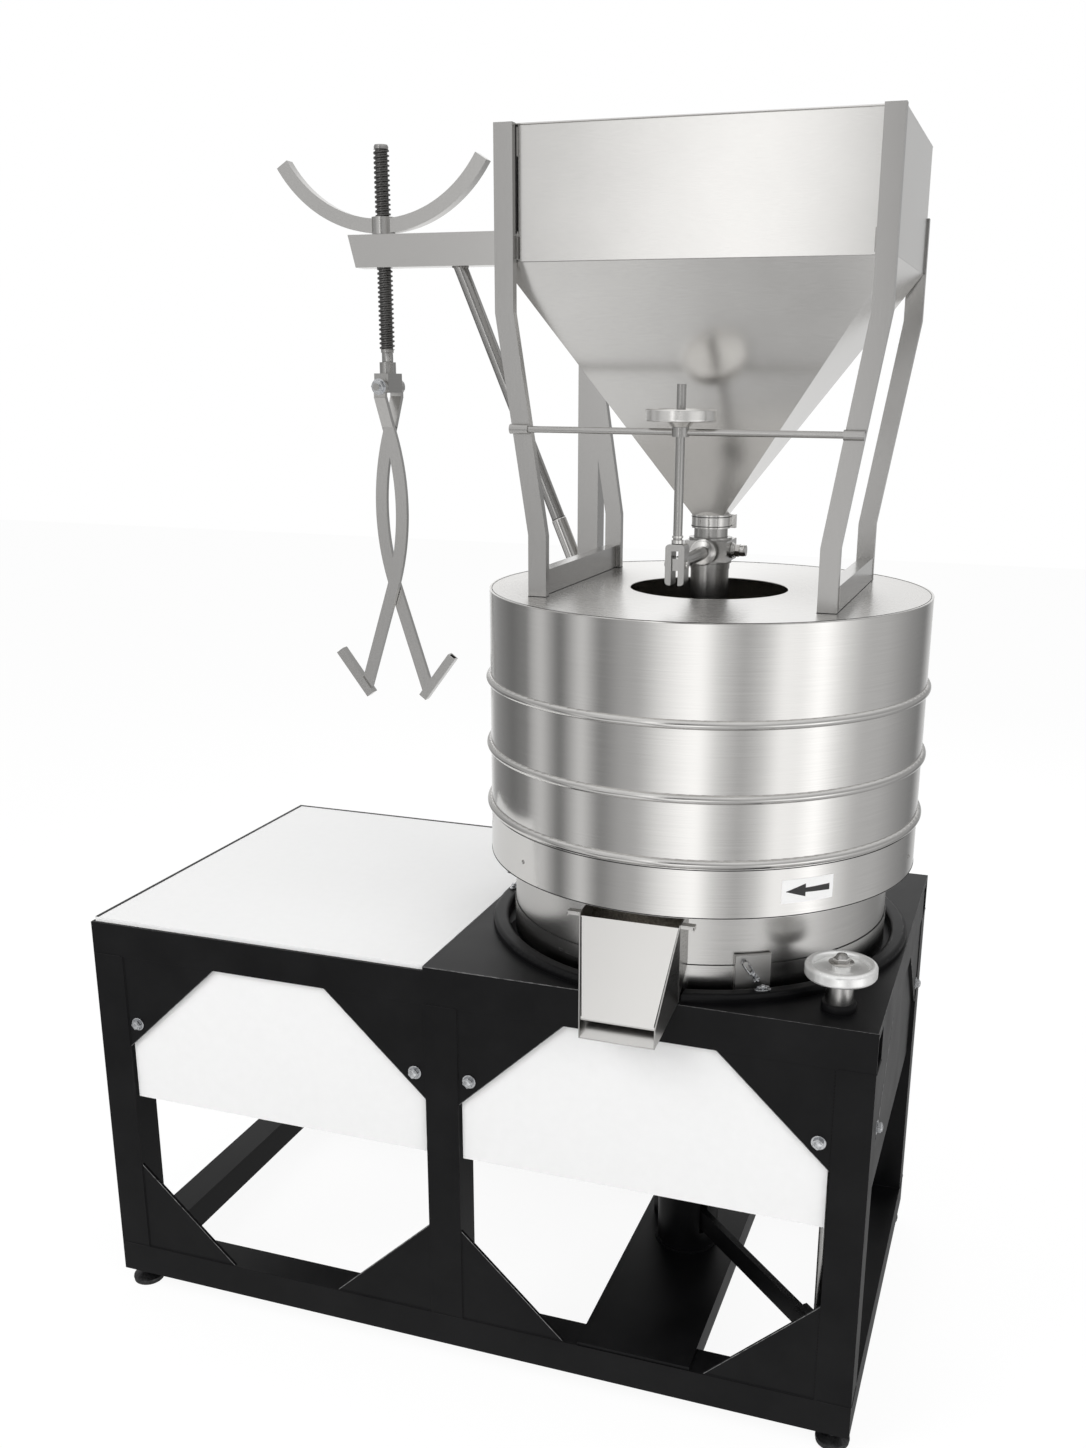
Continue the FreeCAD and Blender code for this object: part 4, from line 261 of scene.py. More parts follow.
# Finish of each CAD node, by material
NODE_MATS = {
    "coat": "frame_legs top_rails bottom_rails gussets mill_deck cross_bearers base_channel bearing_column "
            "lever_bracket tenter_lever gap_nut motor_mount latch_eyes",
    "white": "table_top front_panels guard_panels",
    "zinc": "panel_bolts",
    "rubber": "levelling_feet drive_belt",
    "stone": "bedstone runner_stone",
    "iron": "rynd driven_pulley motor_pulley footstep_cup",
    "bronze": "column_bearing neck_bearing",
    "enamel": "motor",
    "rolled": "hood hood_skirt",
    "drum": "lower_drum trough_floor runner_band",
    "plate": "latch_plates",
    "hopper": "hopper",
    "spout": "spout",
    "strap": "lift_handle tong_arm_left tong_arm_right crane_arm",
    "bar": "stand_legs crane_post crane_brace crane_socket tong_block gap_post gap_screw latch_lever_front "
           "latch_lever_left latch_lever_rear spindle feed_rod feed_pipe valve_body",
    "cross_bar": "tie_rod stand_bars feed_lever",
    "turned": "feed_handwheel",
    "alloy": "gap_handwheel",
    "thread": "lift_screw",
}

# Width of each CAD node's rounded edges
ROUND_EDGES = {
    "frame_legs": 0.003, "top_rails": 0.003, "bottom_rails": 0.003, "cross_bearers": 0.002, "mill_deck": 0.0015,
    "table_top": 0.0012, "front_panels": 0.0006, "guard_panels": 0.0006, "gussets": 0.0008, "base_channel": 0.002,
    "stand_legs": 0.0022, "stand_bars": 0.002, "crane_post": 0.002, "crane_arm": 0.0025, "tong_arm_left": 0.0018,
    "tong_arm_right": 0.0018, "tong_block": 0.0012, "lift_handle": 0.002, "gap_handwheel": 0.0012,
    "feed_handwheel": 0.0012, "valve_body": 0.0012, "feed_rod": 0.0008, "feed_lever": 0.0008, "hopper": 0.0006,
    "spout": 0.0006, "hood": 0.0015, "hood_skirt": 0.0008, "lower_drum": 0.001, "gap_post": 0.001,
    "tenter_lever": 0.001,
}

# Ground bars whose rounded edges look dark; that dark is painted shade, a darker material on their bevels
PAINTED_SHADE_EDGES = "stand_legs stand_bars crane_post crane_arm tong_arm_left tong_arm_right lift_handle".split()
EDGE_ANGLE = 32
SHADE_ANGLE = 30


def shade(mesh, angle):
    """Smooth shading that breaks at edges sharper than an angle."""
    mesh.shade_smooth()
    mesh.set_sharp_from_angle(angle=math.radians(angle))


def round_edges(piece, width, angle=EDGE_ANGLE):
    """Bevel on the edges of a piece that are sharper than an angle."""
    rounding = piece.modifiers.new("edge_rounding", "BEVEL")
    rounding.width = width
    rounding.segments = 2
    rounding.limit_method = "ANGLE"
    rounding.angle_limit = math.radians(angle)
    return rounding


def blacken_end_guard(depth=0.02):
    """The guard at the right end is coated black, as that end of the photograph shows."""
    node = NODES["guard_panels"]
    node.data.materials.append(MATS["coat"])
    right_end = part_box("guard_panels")[1].x - depth
    for polygon in node.data.polygons:
        low_x = min((node.matrix_world @ node.data.vertices[i].co).x for i in polygon.vertices)
        polygon.material_index = 1 if low_x > right_end else 0


def dress_nodes():
    for key, names in NODE_MATS.items():
        for name in names.split():
            node = NODES[name]
            node.data.materials.clear()
            node.data.materials.append(MATS[key])
    blacken_end_guard()
    for name, width in ROUND_EDGES.items():
        rounding = round_edges(NODES[name], width)
        # These bevels take the darker material: painted shade
        if name in PAINTED_SHADE_EDGES:
            NODES[name].data.materials.append(MATS["edge"])
            rounding.material = 1
    for node in NODES.values():
        shade(node.data, SHADE_ANGLE)


dress_nodes()


# Mesh building: each maker below returns vertices and faces that make() joins into one piece
UP = Vector((0, 0, 1))
RIGHT = Vector((1, 0, 0))
BACK = Vector((0, 1, 0))


def basis(axis):
    """Two sides square to an axis, and the axis itself."""
    along = Vector(axis).normalized()
    side = along.orthogonal().normalized()
    return side, along.cross(side), along


def angles(count):
    """Equal steps round a full turn, in radians."""
    return [2 * math.pi * i / count for i in range(count)]


def rings(loops, closed=False):
    """Skin over rings of equally many points; closed joins the last ring to the first."""
    count = len(loops[0])
    verts = [point for loop in loops for point in loop]
    faces = []
    for i in range(len(loops) if closed else len(loops) - 1):
        a, b = i * count, ((i + 1) % len(loops)) * count
        faces += [(a + j, a + (j + 1) % count, b + (j + 1) % count, b + j) for j in range(count)]
    if not closed:
        faces.append(tuple(range(count))[::-1])
        faces.append(tuple(range(len(verts) - count, len(verts))))
    return verts, faces


def turned(profile, at, axis=UP, steps=32, turn=0.0):
    """Solid turned about an axis through at, from pairs of radius and distance along it."""
    side, other, along = basis(axis)
    spokes = [side * math.cos(a + turn) + other * math.sin(a + turn) for a in angles(steps)]
    return rings([[Vector(at) + along * reach + spoke * radius for spoke in spokes] for radius, reach in profile])


def hexagon(across, low, high, at, axis=UP, turn=0.0):
    """Nut or bolt head with chamfered corners, from its size across the flats."""
    corner = across / math.sqrt(3)
    chamfer = (corner - across / 2) * 0.5
    return turned([(across / 2, low), (corner, low + chamfer), (corner, high - chamfer), (across / 2, high)],
                  at, axis, 6, turn)


def rod(points, radius, sides=8, closed=False, ripple=0.0):
    """Round bar along points; ripple swells every other ring, as the scales of a weld bead do."""
    points = [Vector(p) for p in points]
    loops = []
    side = None
    for i, point in enumerate(points):
        before = points[i - 1] if i or closed else point
        after = points[(i + 1) % len(points)] if i < len(points) - 1 or closed else point
        along = (after - before).normalized()
        side = along.orthogonal() if side is None else side - along * side.dot(along)
        side.normalize()
        other = along.cross(side)
        swell = radius * (1 + ripple * (-1) ** i)
        loops.append([point + (side * math.cos(a) + other * math.sin(a)) * swell for a in angles(sides)])
    return rings(loops, closed)


def slab(outline, depth):
    """Plate: a flat outline of points, given thickness by the vector depth."""
    points = [Vector(p) for p in outline]
    return rings([points, [p + Vector(depth) for p in points]])


def rectangle(x0, y0, x1, y1):
    """Corners of a rectangle, one after the other."""
    return [(x0, y0), (x1, y0), (x1, y1), (x0, y1)]


def in_turn(corners):
    """Every two neighbours of a closed outline."""
    return zip(corners, corners[1:] + corners[:1])


def bar(low, high):
    """Upright box between two corners."""
    x0, y0, z0 = low
    x1, y1, z1 = high
    return slab([(x, y, z0) for x, y in rectangle(x0, y0, x1, y1)], (0, 0, z1 - z0))


def make(name, parts, mat, body="stand", rounding=0.0, sharp=EDGE_ANGLE):
    """One piece from several closed shapes, on a body, with rounded and shaded edges."""
    verts, faces = [], []
    for points, polygons in parts:
        faces += [tuple(v + len(verts) for v in polygon) for polygon in polygons]
        verts += [tuple(point) for point in points]
    mesh = bpy.data.meshes.new(name)
    mesh.from_pydata(verts, [], faces)
    work = bmesh.new()
    work.from_mesh(mesh)
    bmesh.ops.recalc_face_normals(work, faces=work.faces)
    work.to_mesh(mesh)
    work.free()
    shade(mesh, sharp)
    mesh.materials.append(MATS[mat])
    piece = bpy.data.objects.new(name, mesh)
    scene.collection.objects.link(piece)
    if rounding:
        round_edges(piece, rounding, sharp)
    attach(piece, body)
    return piece


def even(start, end, step=0.003):
    """Points about a step apart from start to end."""
    start, end = Vector(start), Vector(end)
    count = max(2, round((end - start).length / step))
    return [start.lerp(end, i / count) for i in range(count + 1)]


def bead(points, radius=0.0014, closed=False):
    """Weld bead along points."""
    return rod(points, radius, 6, closed, 0.18)


def circle(at, radius, axis=UP, step=0.004):
    """An even number of points about a step apart round a circle."""
    side, other, _ = basis(axis)
    count = max(16, round(2 * math.pi * radius / step))
    count += count % 2
    return [Vector(at) + (side * math.cos(a) + other * math.sin(a)) * radius for a in angles(count)]


def loop_line(at, radius, thickness, axis=UP):
    """Thin line round a circle."""
    return rod(circle(at, radius, axis), thickness, 6, True)


def solids(node):
    """Each separate solid of a CAD node: lowest and highest corner, and its corner points."""
    work = bmesh.new()
    work.from_mesh(NODES[node].data)
    bmesh.ops.remove_doubles(work, verts=work.verts, dist=1e-5)
    left = set(work.verts)
    found = []
    for start in work.verts:
        if start not in left:
            continue
        left.discard(start)
        stack, seen = [start], []
        while stack:
            vert = stack.pop()
            seen.append(vert.co.copy())
            for edge in vert.link_edges:
                other = edge.other_vert(vert)
                if other in left:
                    left.discard(other)
                    stack.append(other)
        low = Vector([min(p[i] for p in seen) for i in range(3)])
        high = Vector([max(p[i] for p in seen) for i in range(3)])
        found.append((low, high, seen))
    work.free()
    return sorted(found, key=lambda box: tuple(round(c, 4) for c in box[0]))


# Table: bolts, feet, weld beads and painted highlights on the edges
TABLE_LOW, TABLE_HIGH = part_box("mill_deck")
FRAME_LOW, FRAME_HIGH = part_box("top_rails")
TABLE_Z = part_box("table_top")[1].z
FRONT_Y = FRAME_LOW.y


def panel_bolts():
    """Hexagon bolt with a washer in front of each gusset and a nut behind the panel."""
    centre = middle("frame_legs")
    washer, across, head = 0.012, 0.0165, 0.011
    parts = []
    for number, (low, high, _) in enumerate(solids("panel_bolts")):
        extent = high - low
        flat = 1 if extent.y > extent.x else 0
        spot = (low + high) / 2
        outward = Vector((0, 0, 0))
        outward[flat] = math.copysign(1, spot[flat] - centre[flat])
        seat = spot + outward * (extent[flat] / 2 - head)
        spin = 0.3 + number * 1.1
        inside = extent[flat] - head
        disc = [(washer - 0.0006, 0), (washer, 0.0005), (washer, 0.0014), (washer - 0.0008, 0.0018)]
        parts += [
            turned(disc, seat, outward),
            hexagon(across, 0.0018, 0.0084, seat, outward, spin),
            turned([(0.0066, 0.0078), (0.0064, 0.0092), (0.0052, 0.0102), (0.0024, 0.0108)], seat, outward, 24),
            turned([(0.005, 0.001), (0.005, 0.0002 - inside), (0.0042, -inside)], seat, outward, 16),
            hexagon(across, 0.0022 - inside, 0.0098 - inside, seat, outward, spin)]
    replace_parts(make("hexagon_bolts", parts, "zinc", sharp=24), "panel_bolts")


def feet():
    """Levelling foot: rubber pad, pressed cup, threaded stem and lock nut."""
    stem, pitch, steps = 0.0078, 0.0018, 12
    pads, cups = [], []
    for low, high, _ in solids("levelling_feet"):
        at = Vector(((low.x + high.x) / 2, (low.y + high.y) / 2, low.z))
        radius = (high.x - low.x) / 2
        pads.append(turned([(radius - 0.003, 0), (radius - 0.001, 0.0015), (radius - 0.0005, 0.006),
                            (radius - 0.003, 0.0085)], at, UP, 48))
        cups += [turned([(radius - 0.002, 0.0062), (radius, 0.0072), (radius - 0.0005, 0.0105),
                         (radius - 0.006, 0.0135), (0.016, 0.0165), (0.0125, 0.019), (0.0120, 0.0215),
                         (0.008, 0.022)], at, UP, 48),
                 rod([at + UP * 0.021, at + UP * 0.0346], stem, 20), hexagon(0.024, 0.0265, 0.0345, at)]
        thread = []
        for step in range(3 * steps):
            a = step * math.pi / 6
            thread.append(at + UP * (0.0212 + pitch * step / steps) + Vector((math.cos(a), math.sin(a), 0)) * stem)
        cups.append(rod(thread, 0.0006, 5))
    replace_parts(make("foot_cups", cups, "cup", sharp=28), "levelling_feet")
    make("foot_pads", pads, "rubber")


def gusset_welds():
    """Weld beads where each gusset meets its leg and rail, and painted highlights on its cut edge and along its joints.
    """
    centre = middle("frame_legs")
    beads, highlight_line = [], []
    for low, high, points in solids("gussets"):
        extent = high - low
        thin = min(range(3), key=lambda i: extent[i])
        across = 1 - thin
        outer = high[thin] if (low[thin] + high[thin]) / 2 > centre[thin] else low[thin]
        corners = {}
        for u in (0, 1):
            for v in (0, 1):
                spot = Vector((0, 0, (low, high)[v].z))
                spot[across] = (low, high)[u][across]
                spot[thin] = outer
                gaps = [math.hypot(p[across] - spot[across], p.z - spot.z) for p in points]
                corners[u, v] = (spot, min(gaps))
        u, v = max(corners, key=lambda key: corners[key][1])
        side_end, root, rail_end = corners[1 - u, v][0], corners[1 - u, 1 - v][0], corners[u, 1 - v][0]
        beads += [bead(even(side_end, root)), bead(even(root, rail_end))]
        face = [p for p in points if abs(p[thin] - outer) < 1e-4]
        free = [min(face, key=lambda p: (p - end).length) for end in (side_end, rail_end)]
        # Bright lines on the cut edge and beside the joints: painted highlights
        highlight_line.append(rod(free, 0.0006, 6))
        highlight_line += [rod([root.lerp(end, 0.03), root.lerp(end, 0.985)], 0.0005, 6) for end in (side_end, rail_end)]
    make("gusset_beads", beads, "coat")
    make("gusset_painted_highlights", highlight_line, "highlight_line")


def frame_welds():
    """Beads round the legs at both rails, and round the bearing column's foot."""
    beads = []
    for low, high, _ in solids("frame_legs"):
        for z in (high.z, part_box("bottom_rails")[1].z):
            for (x0, y0), (x1, y1) in in_turn(rectangle(low.x, low.y, high.x, high.y)):
                start, end = Vector((x0, y0, z)), Vector((x1, y1, z))
                beads.append(bead(even(start.lerp(end, 0.06), end.lerp(start, 0.06)), 0.0011))
    column, foot = middle("bearing_column"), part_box("bearing_column")[0].z
    beads.append(bead(circle((column.x, column.y, foot + 0.0012), size("bearing_column").y / 2 + 0.0008), 0.0034, True))
    make("frame_beads", beads, "coat")


def top_edging(width=0.006, lift=0.0006):
    """Black edging on the left and the rear of the white top."""
    low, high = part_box("table_top")
    make("top_edging", [bar((low.x, low.y, TABLE_Z), (low.x + width, high.y, TABLE_Z + lift)),
                        bar((low.x + width, high.y - width, TABLE_Z), (high.x, high.y, TABLE_Z + lift))], "coat")


def edge_highlight_lines():
    """Painted highlight: a bright line along the deck's edges and the rails' arrises."""
    inset = 0.0006
    z = TABLE_Z - inset
    left, right = TABLE_LOW.x + 0.001, TABLE_HIGH.x - inset
    front, rear = TABLE_LOW.y + inset, TABLE_HIGH.y - inset
    lines = [rod([(x, y, z) for x, y in rectangle(left, front, right, rear)], 0.0008, 6)]
    far_left, top = FRAME_LOW.x + inset, FRAME_HIGH.z - inset
    rail_front = FRONT_Y + inset
    lines.append(rod([(left, rail_front, top), (far_left, rail_front, top), (far_left, rear, top)], 0.0006, 6))
    for low, high, _ in solids("bottom_rails"):
        if high.x - low.x > 0.3:
            y = low.y + inset if low.y < 0 else high.y - inset
            for z in (high.z - inset, low.z + inset):
                lines.append(rod([(low.x + 0.01, y, z), (high.x - 0.01, y, z)], 0.0005, 6))
    make("painted_highlight_edges", lines, "highlight_line")


panel_bolts()
feet()
gusset_welds()
frame_welds()
top_edging()
edge_highlight_lines()


# Drum and hood: joints, painted shade lines, hems, rivets and the direction sticker
HOOD_R = size("hood_skirt").x / 2
DRUM_R = HOOD_R - 0.042
DRUM_SEAM = TABLE_Z + 0.047
SKIRT_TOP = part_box("hood_skirt")[1].z
LID_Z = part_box("hood")[1].z
BEADS = (TABLE_Z + 0.2295, TABLE_Z + 0.332, TABLE_Z + 0.446)


def on_wall(bearing, height, radius):
    """Point on an upright round wall about the mill, from a bearing in degrees."""
    a = math.radians(bearing)
    return Vector((MILL.x + radius * math.cos(a), MILL.y + radius * math.sin(a), height))


def radial(bearing):
    """Level direction outwards from the mill."""
    return on_wall(bearing, 0, 1) - MILL


def level_ring(radius, z, thickness):
    """Thin line round the mill."""
    return loop_line((MILL.x, MILL.y, z), radius, thickness)


def hood_trim():
    """Dark joints, painted shadow lines under the beads and at the skirt's foot, bright hems, and the rivets and studs
    of the skirt and the drum.
    """
    rivet_z, stud_z = 0.940, 0.8945
    dark = [level_ring(HOOD_R - 0.0002, SKIRT_TOP, 0.0009), level_ring(HOOD_R - 0.0042, LID_Z, 0.0005)]
    # Thin dark ring under each bead: painted shadow
    dark += [level_ring(HOOD_R + 0.0006, z - 0.0068, 0.0006) for z in BEADS]
    # Dark ring at the skirt's lower edge: painted shade in the gap over the drum
    dark.append(level_ring(HOOD_R - 0.0008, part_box("hood_skirt")[0].z + 0.0012, 0.0013))
    make("hood_joints_and_shade_lines", dark, "joint_and_shade_line")
    hems = [level_ring(HOOD_R - 0.0006, LID_Z - 0.0008, 0.0010), level_ring(0.1336, LID_Z - 0.0010, 0.0012)]
    make("hood_hems", hems, "bright")
    rivet = [(0.0036, 0), (0.0035, 0.0009), (0.0026, 0.0017), (0.0010, 0.0021)]
    make("skirt_rivets", [turned(rivet, on_wall(bearing, rivet_z, HOOD_R - 0.0004), radial(bearing), 20)
                          for bearing in (-127.5, -7.5, 112.5, 172.0)], "bar")
    make("drum_joint", [level_ring(DRUM_R + 0.0006, DRUM_SEAM + 0.0006, 0.0007)], "joint_and_shade_line")
    knob = [(0.0068, 0.018), (0.0080, 0.021), (0.0080, 0.026), (0.0058, 0.030), (0.0020, 0.0315)]
    bolts = []
    for bearing in (-142.7, 37.3):
        at, out = on_wall(bearing, stud_z, DRUM_R - 0.001), radial(bearing)
        bolts += [turned([(0.0085, 0), (0.0085, 0.0026)], at, out, 24),
                  turned([(0.0052, 0.002), (0.0052, 0.020)], at, out, 20), turned(knob, at, out, 24)]
    make("drum_studs", bolts, "zinc")


def curved_sheet(start, sweep, low, high, radius, thickness, narrow=1.0, columns=24):
    """Thin sheet on the wall between two bearings; narrow scales its height at the far end."""
    loops = []
    mid = (low + high) / 2
    for i in range(columns + 1):
        half = (high - low) / 2 * (1 + (narrow - 1) * i / columns)
        loops.append([on_wall(start + sweep * i / columns, z, r)
                      for z, r in rectangle(mid - half, radius, mid + half, radius + thickness)])
    return rings(loops)


def direction_sticker():
    """White sticker with a black arrow that shows which way the runner turns."""
    start, sweep, low, high = -56.6, 14.1, 0.9278, 0.9662
    mid = (low + high) / 2
    make("sticker", [curved_sheet(start, sweep, low, high, HOOD_R + 0.0001, 0.0002)], "sticker", sharp=60)
    tip, neck, tail = start + 1.1, start + 6.3, start + sweep - 1.1
    head, shaft = 0.0105, 0.0036
    ink = HOOD_R + 0.00035
    make("sticker_arrow", [curved_sheet(neck, tip - neck, mid - head, mid + head, ink, 0.0001, 0.02),
                           curved_sheet(neck - 0.1, tail - neck + 0.1, mid - shaft, mid + shaft, ink, 0.0001, 1.45)],
         "ink", sharp=60)


hood_trim()
direction_sticker()


# Spout of folded sheet: front sheet and floor set between two cheeks, with hooked tabs
def spout():
    low_corner, high_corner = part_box("spout")
    centre = (low_corner.x + high_corner.x) / 2
    half, mouth_half, sheet, inset = 0.082, 0.062, 0.002, 0.0032
    lip_y, mouth_y = FRONT_Y, low_corner.y
    lip_top, lip_bottom = TABLE_Z + 0.132, TABLE_Z + 0.004
    mouth_top, mouth_bottom = low_corner.z + 0.033, low_corner.z
    rear_bottom = DRUM_SEAM + 0.0035
    cheeks = []
    for way in (-1, 1):
        x, mouth_x = centre + way * half, centre + way * mouth_half
        wall = MILL.y - math.sqrt((DRUM_R + 0.0006) ** 2 - (x - MILL.x) ** 2)
        inward = RIGHT * -way * sheet
        cheeks += [slab([(x, wall, rear_bottom), (x, wall, lip_top + 0.0055), (x, lip_y, lip_top),
                         (x, lip_y, lip_bottom)], inward),
                   slab([(x, lip_y, lip_top), (mouth_x, mouth_y, mouth_top), (mouth_x, mouth_y, mouth_bottom),
                         (x, lip_y, lip_bottom)], inward)]
    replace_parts(make("spout_cheeks", cheeks, "spout_side", rounding=0.0004), "spout")
    slope = Vector((0, mouth_y - lip_y, mouth_top - lip_top)).normalized()
    inner = RIGHT.cross(slope)
    inner *= math.copysign(1, inner.y)

    def across(width, y, z):
        """Left and right end of a line between the cheeks."""
        return [Vector((centre - width + sheet, y, z)), Vector((centre + width - sheet, y, z))]

    top = [p + inner * inset + slope * 0.004 for p in across(half, lip_y, lip_top)]
    low = [p + inner * inset for p in across(mouth_half, mouth_y, mouth_top)]
    fold, mouth = across(half, lip_y, lip_bottom), across(mouth_half, mouth_y, mouth_bottom)
    rear = across(half, MILL.y - DRUM_R + 0.008, rear_bottom)
    sheets = [slab([*top, *low[::-1]], inner * sheet * 0.6), slab([*fold, *mouth[::-1]], UP * sheet),
              slab([*rear, *fold[::-1]], UP * sheet), rod(low, 0.0011)]
    make("spout_sheets", sheets, "spout", rounding=0.0003)
    tabs, seams = [], []
    for way in (-1, 1):
        x0, x1 = sorted((centre + way * (half - 0.001), centre + way * (half + 0.021)))
        y0, y1, z = lip_y + 0.001, lip_y + 0.015, lip_top - 0.002
        lip_x = x0 if way < 0 else x1 - 0.002
        tabs += [bar((x0, y0, z), (x1, y1, z + 0.002)), bar((lip_x, y0, z - 0.006), (lip_x + 0.002, y1, z + 0.001)),
                 bar((x0, y0, z - 0.004), (x1, y0 + 0.0015, z + 0.001))]
        lift = inner * (inset - 0.0004)
        seam_top = Vector((centre + way * (half - sheet - 0.001), lip_y, lip_top))
        seam_end = Vector((centre + way * (mouth_half - sheet - 0.001), mouth_y, mouth_top))
        seams.append(rod([seam_top + lift + slope * 0.006, seam_end + lift - slope * 0.004], 0.0007, 6))
    make("spout_tabs", tabs, "bright", rounding=0.0004)
    make("spout_seams", seams, "joint_and_shade_line")


spout()


# Latches: toggles of bail, stacked nuts and hook, and the bright lugs that they hook into
def latches():
    """Toggles on the drum's three plates, the plates' rims, and the lugs under them."""
    lugs, rims = [], []
    face_r = DRUM_R + 0.0065
    for name, bearing in (("front", -61.0), ("rear", 59.0), ("left", 179.0)):
        out = radial(bearing)
        side = UP.cross(out)
        tilt = math.radians(35)
        down = side * math.sin(tilt) - UP * math.cos(tilt)
        across = out.cross(down)
        pin = on_wall(bearing, TABLE_Z + 0.055, face_r) - side * 0.015
        face = pin + out * 0.0035
        bail = [face + across * width + down * reach for width, reach in (
            (0.0036, 0.003), (0.0042, 0.012), (0.0036, 0.0205), (0, 0.0222),
            (-0.0036, 0.0205), (-0.0042, 0.012), (-0.0036, 0.003))]
        hook = [face + down * reach + out * lift for reach, lift in (
            (0.0365, 0), (0.0395, 0.0006), (0.0415, -0.0004), (0.0425, -0.0022))]
        boss = [(0.0052, 0.0005), (0.0054, 0.0012), (0.0054, 0.0052), (0.0046, 0.0068), (0.0042, 0.0074)]
        parts = [turned(boss, pin, out, 20), rod(bail, 0.0014),
                 rod([face + down * 0.020, face + down * 0.0365], 0.0021, 10), rod(hook, 0.0021, 10),
                 rod([face + across * 0.0055 + down * 0.0372, face - across * 0.0055 + down * 0.0372], 0.0017)]
        parts += [hexagon(0.0092, reach - 0.0017, reach + 0.0017, face, down, 0.4 + reach * 300)
                  for reach in (0.0232, 0.0285, 0.0338)]
        piece = make("toggle_" + name + "_parts", parts, "zinc", "toggle_" + name, sharp=26)
        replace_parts(piece, "latch_lever_" + name)
        seat = on_wall(bearing, TABLE_Z + 0.014, DRUM_R + 0.027) + side * 0.011
        for lift, reach, width in ((0.0, 0.0135, 0.0062), (0.0042, 0.0105, 0.0048)):
            lugs.append(slab([seat + UP * lift + side * reach * math.cos(a) + out * width * math.sin(a)
                              for a in angles(28)], UP * 0.0022))
        lugs += [rod([seat + UP * 0.001, seat + UP * 0.0085], 0.0026, 12),
                 turned([(0.0042, 0.0062), (0.0044, 0.0072), (0.0036, 0.0086), (0.0012, 0.0090)], seat, UP, 16)]
        plate_mid = on_wall(bearing, TABLE_Z + 0.037, face_r)
        corners = [plate_mid + side * x * 0.0292 + UP * z * 0.0292 for x, z in rectangle(-1, -1, 1, 1)]
        rims.append(rod(corners, 0.0009, 6, True))
        for way in (-1, 1):
            edge = plate_mid + side * way * 0.0298 - out * 0.0002
            rims.append(slab([edge + UP * z - out * depth for z, depth in rectangle(-0.0298, 0, 0.0298, 0.006)],
                             side * -way * 0.0012))
    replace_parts(make("latch_eye_lugs", lugs, "zinc", rounding=0.0005), "latch_eyes")
    make("latch_plate_rims", rims, "bar")


latches()


# Hardware of the feed and of the gap wheel
def feed_hardware():
    """Rings, nut and clamps of the feed valve, and the collars where its rod ends in a fork."""
    height = middle("feed_lever").z
    axis = MILL + UP * height
    start = axis + RIGHT * 0.036
    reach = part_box("valve_body")[1].x - start.x
    rings_right = [turned([(0.0130, 0.0004), (0.0134, 0.0010), (0.0134, 0.0026), (0.0128, 0.0032)], start, RIGHT),
                   turned([(0.0112, 0.0036), (0.0115, 0.0042), (0.0115, 0.0056), (0.0110, 0.0062)], start, RIGHT),
                   hexagon(0.0196, 0.0068, 0.0150, start, RIGHT, 0.26),
                   turned([(0.0092, 0.0148), (0.0095, 0.0156), (0.0095, reach - 0.004), (0.0082, reach - 0.0014),
                           (0.005, reach - 0.0002)], start, RIGHT)]
    gland = axis - BACK * 0.0585
    rings_front = [turned([(0.0185, -0.0034), (0.0215, -0.0026), (0.0218, 0.0008), (0.0214, 0.0040), (0.0188, 0.0048)],
                          gland + BACK * 0.008, BACK),
                   turned([(0.0182, 0.0004), (0.0204, 0.0010), (0.0204, 0.0046), (0.0182, 0.0052)], gland, BACK)]
    make("valve_rings", rings_right + rings_front, "bright", sharp=26)
    lines = [loop_line(axis + UP * lift, radius, 0.0007)
             for lift, radius in ((0.0392, 0.0326), (0.0545, 0.0326), (0.0205, 0.0283), (-0.0210, 0.0335))]
    make("clamp_lines", lines, "joint_and_shade_line")
    foot = middle("feed_rod")
    foot.z = 0
    collar = [turned([(0.0078, 0), (0.0092, 0.0006), (0.0092, 0.0058), (0.0078, 0.0064)], foot + UP * (height + 0.031)),
              turned([(0.0074, 0), (0.0084, 0.0005), (0.0084, 0.0035), (0.0074, 0.004)], foot + UP * (height + 0.0395))]
    for way in (-1, 1):
        collar.append(turned([(0.0058, 0.0148), (0.0062, 0.0154), (0.0058, 0.0176), (0.0042, 0.0186)],
                             foot + UP * height, RIGHT * way, 20))
    make("fork_collars", collar, "bright", "feed_stem")


def gap_wheel_hardware():
    """Nut and washer on the gap wheel, and the coated collar round its post's foot."""
    low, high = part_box("gap_handwheel")
    at = Vector(((low.x + high.x) / 2, (low.y + high.y) / 2, high.z - 0.0002))
    nut = [turned([(0.0190, 0), (0.0200, 0.0006), (0.0200, 0.0018), (0.0186, 0.0024)], at),
           hexagon(0.0236, 0.0024, 0.0094, at, UP, 0.5)]
    make("gap_wheel_nut", nut, "bright", "gap_wheel", sharp=26)
    foot = Vector((at.x, at.y, TABLE_Z))
    collar = [(0.0276, 0), (0.0280, 0.002), (0.0278, 0.0095), (0.0262, 0.0122), (0.0228, 0.0128)]
    make("post_collar", [turned(collar, foot, UP, 48)], "coat")
    make("post_line", [loop_line(foot + UP * 0.0478, 0.0222, 0.0006)], "joint_and_shade_line")


feed_hardware()
gap_wheel_hardware()


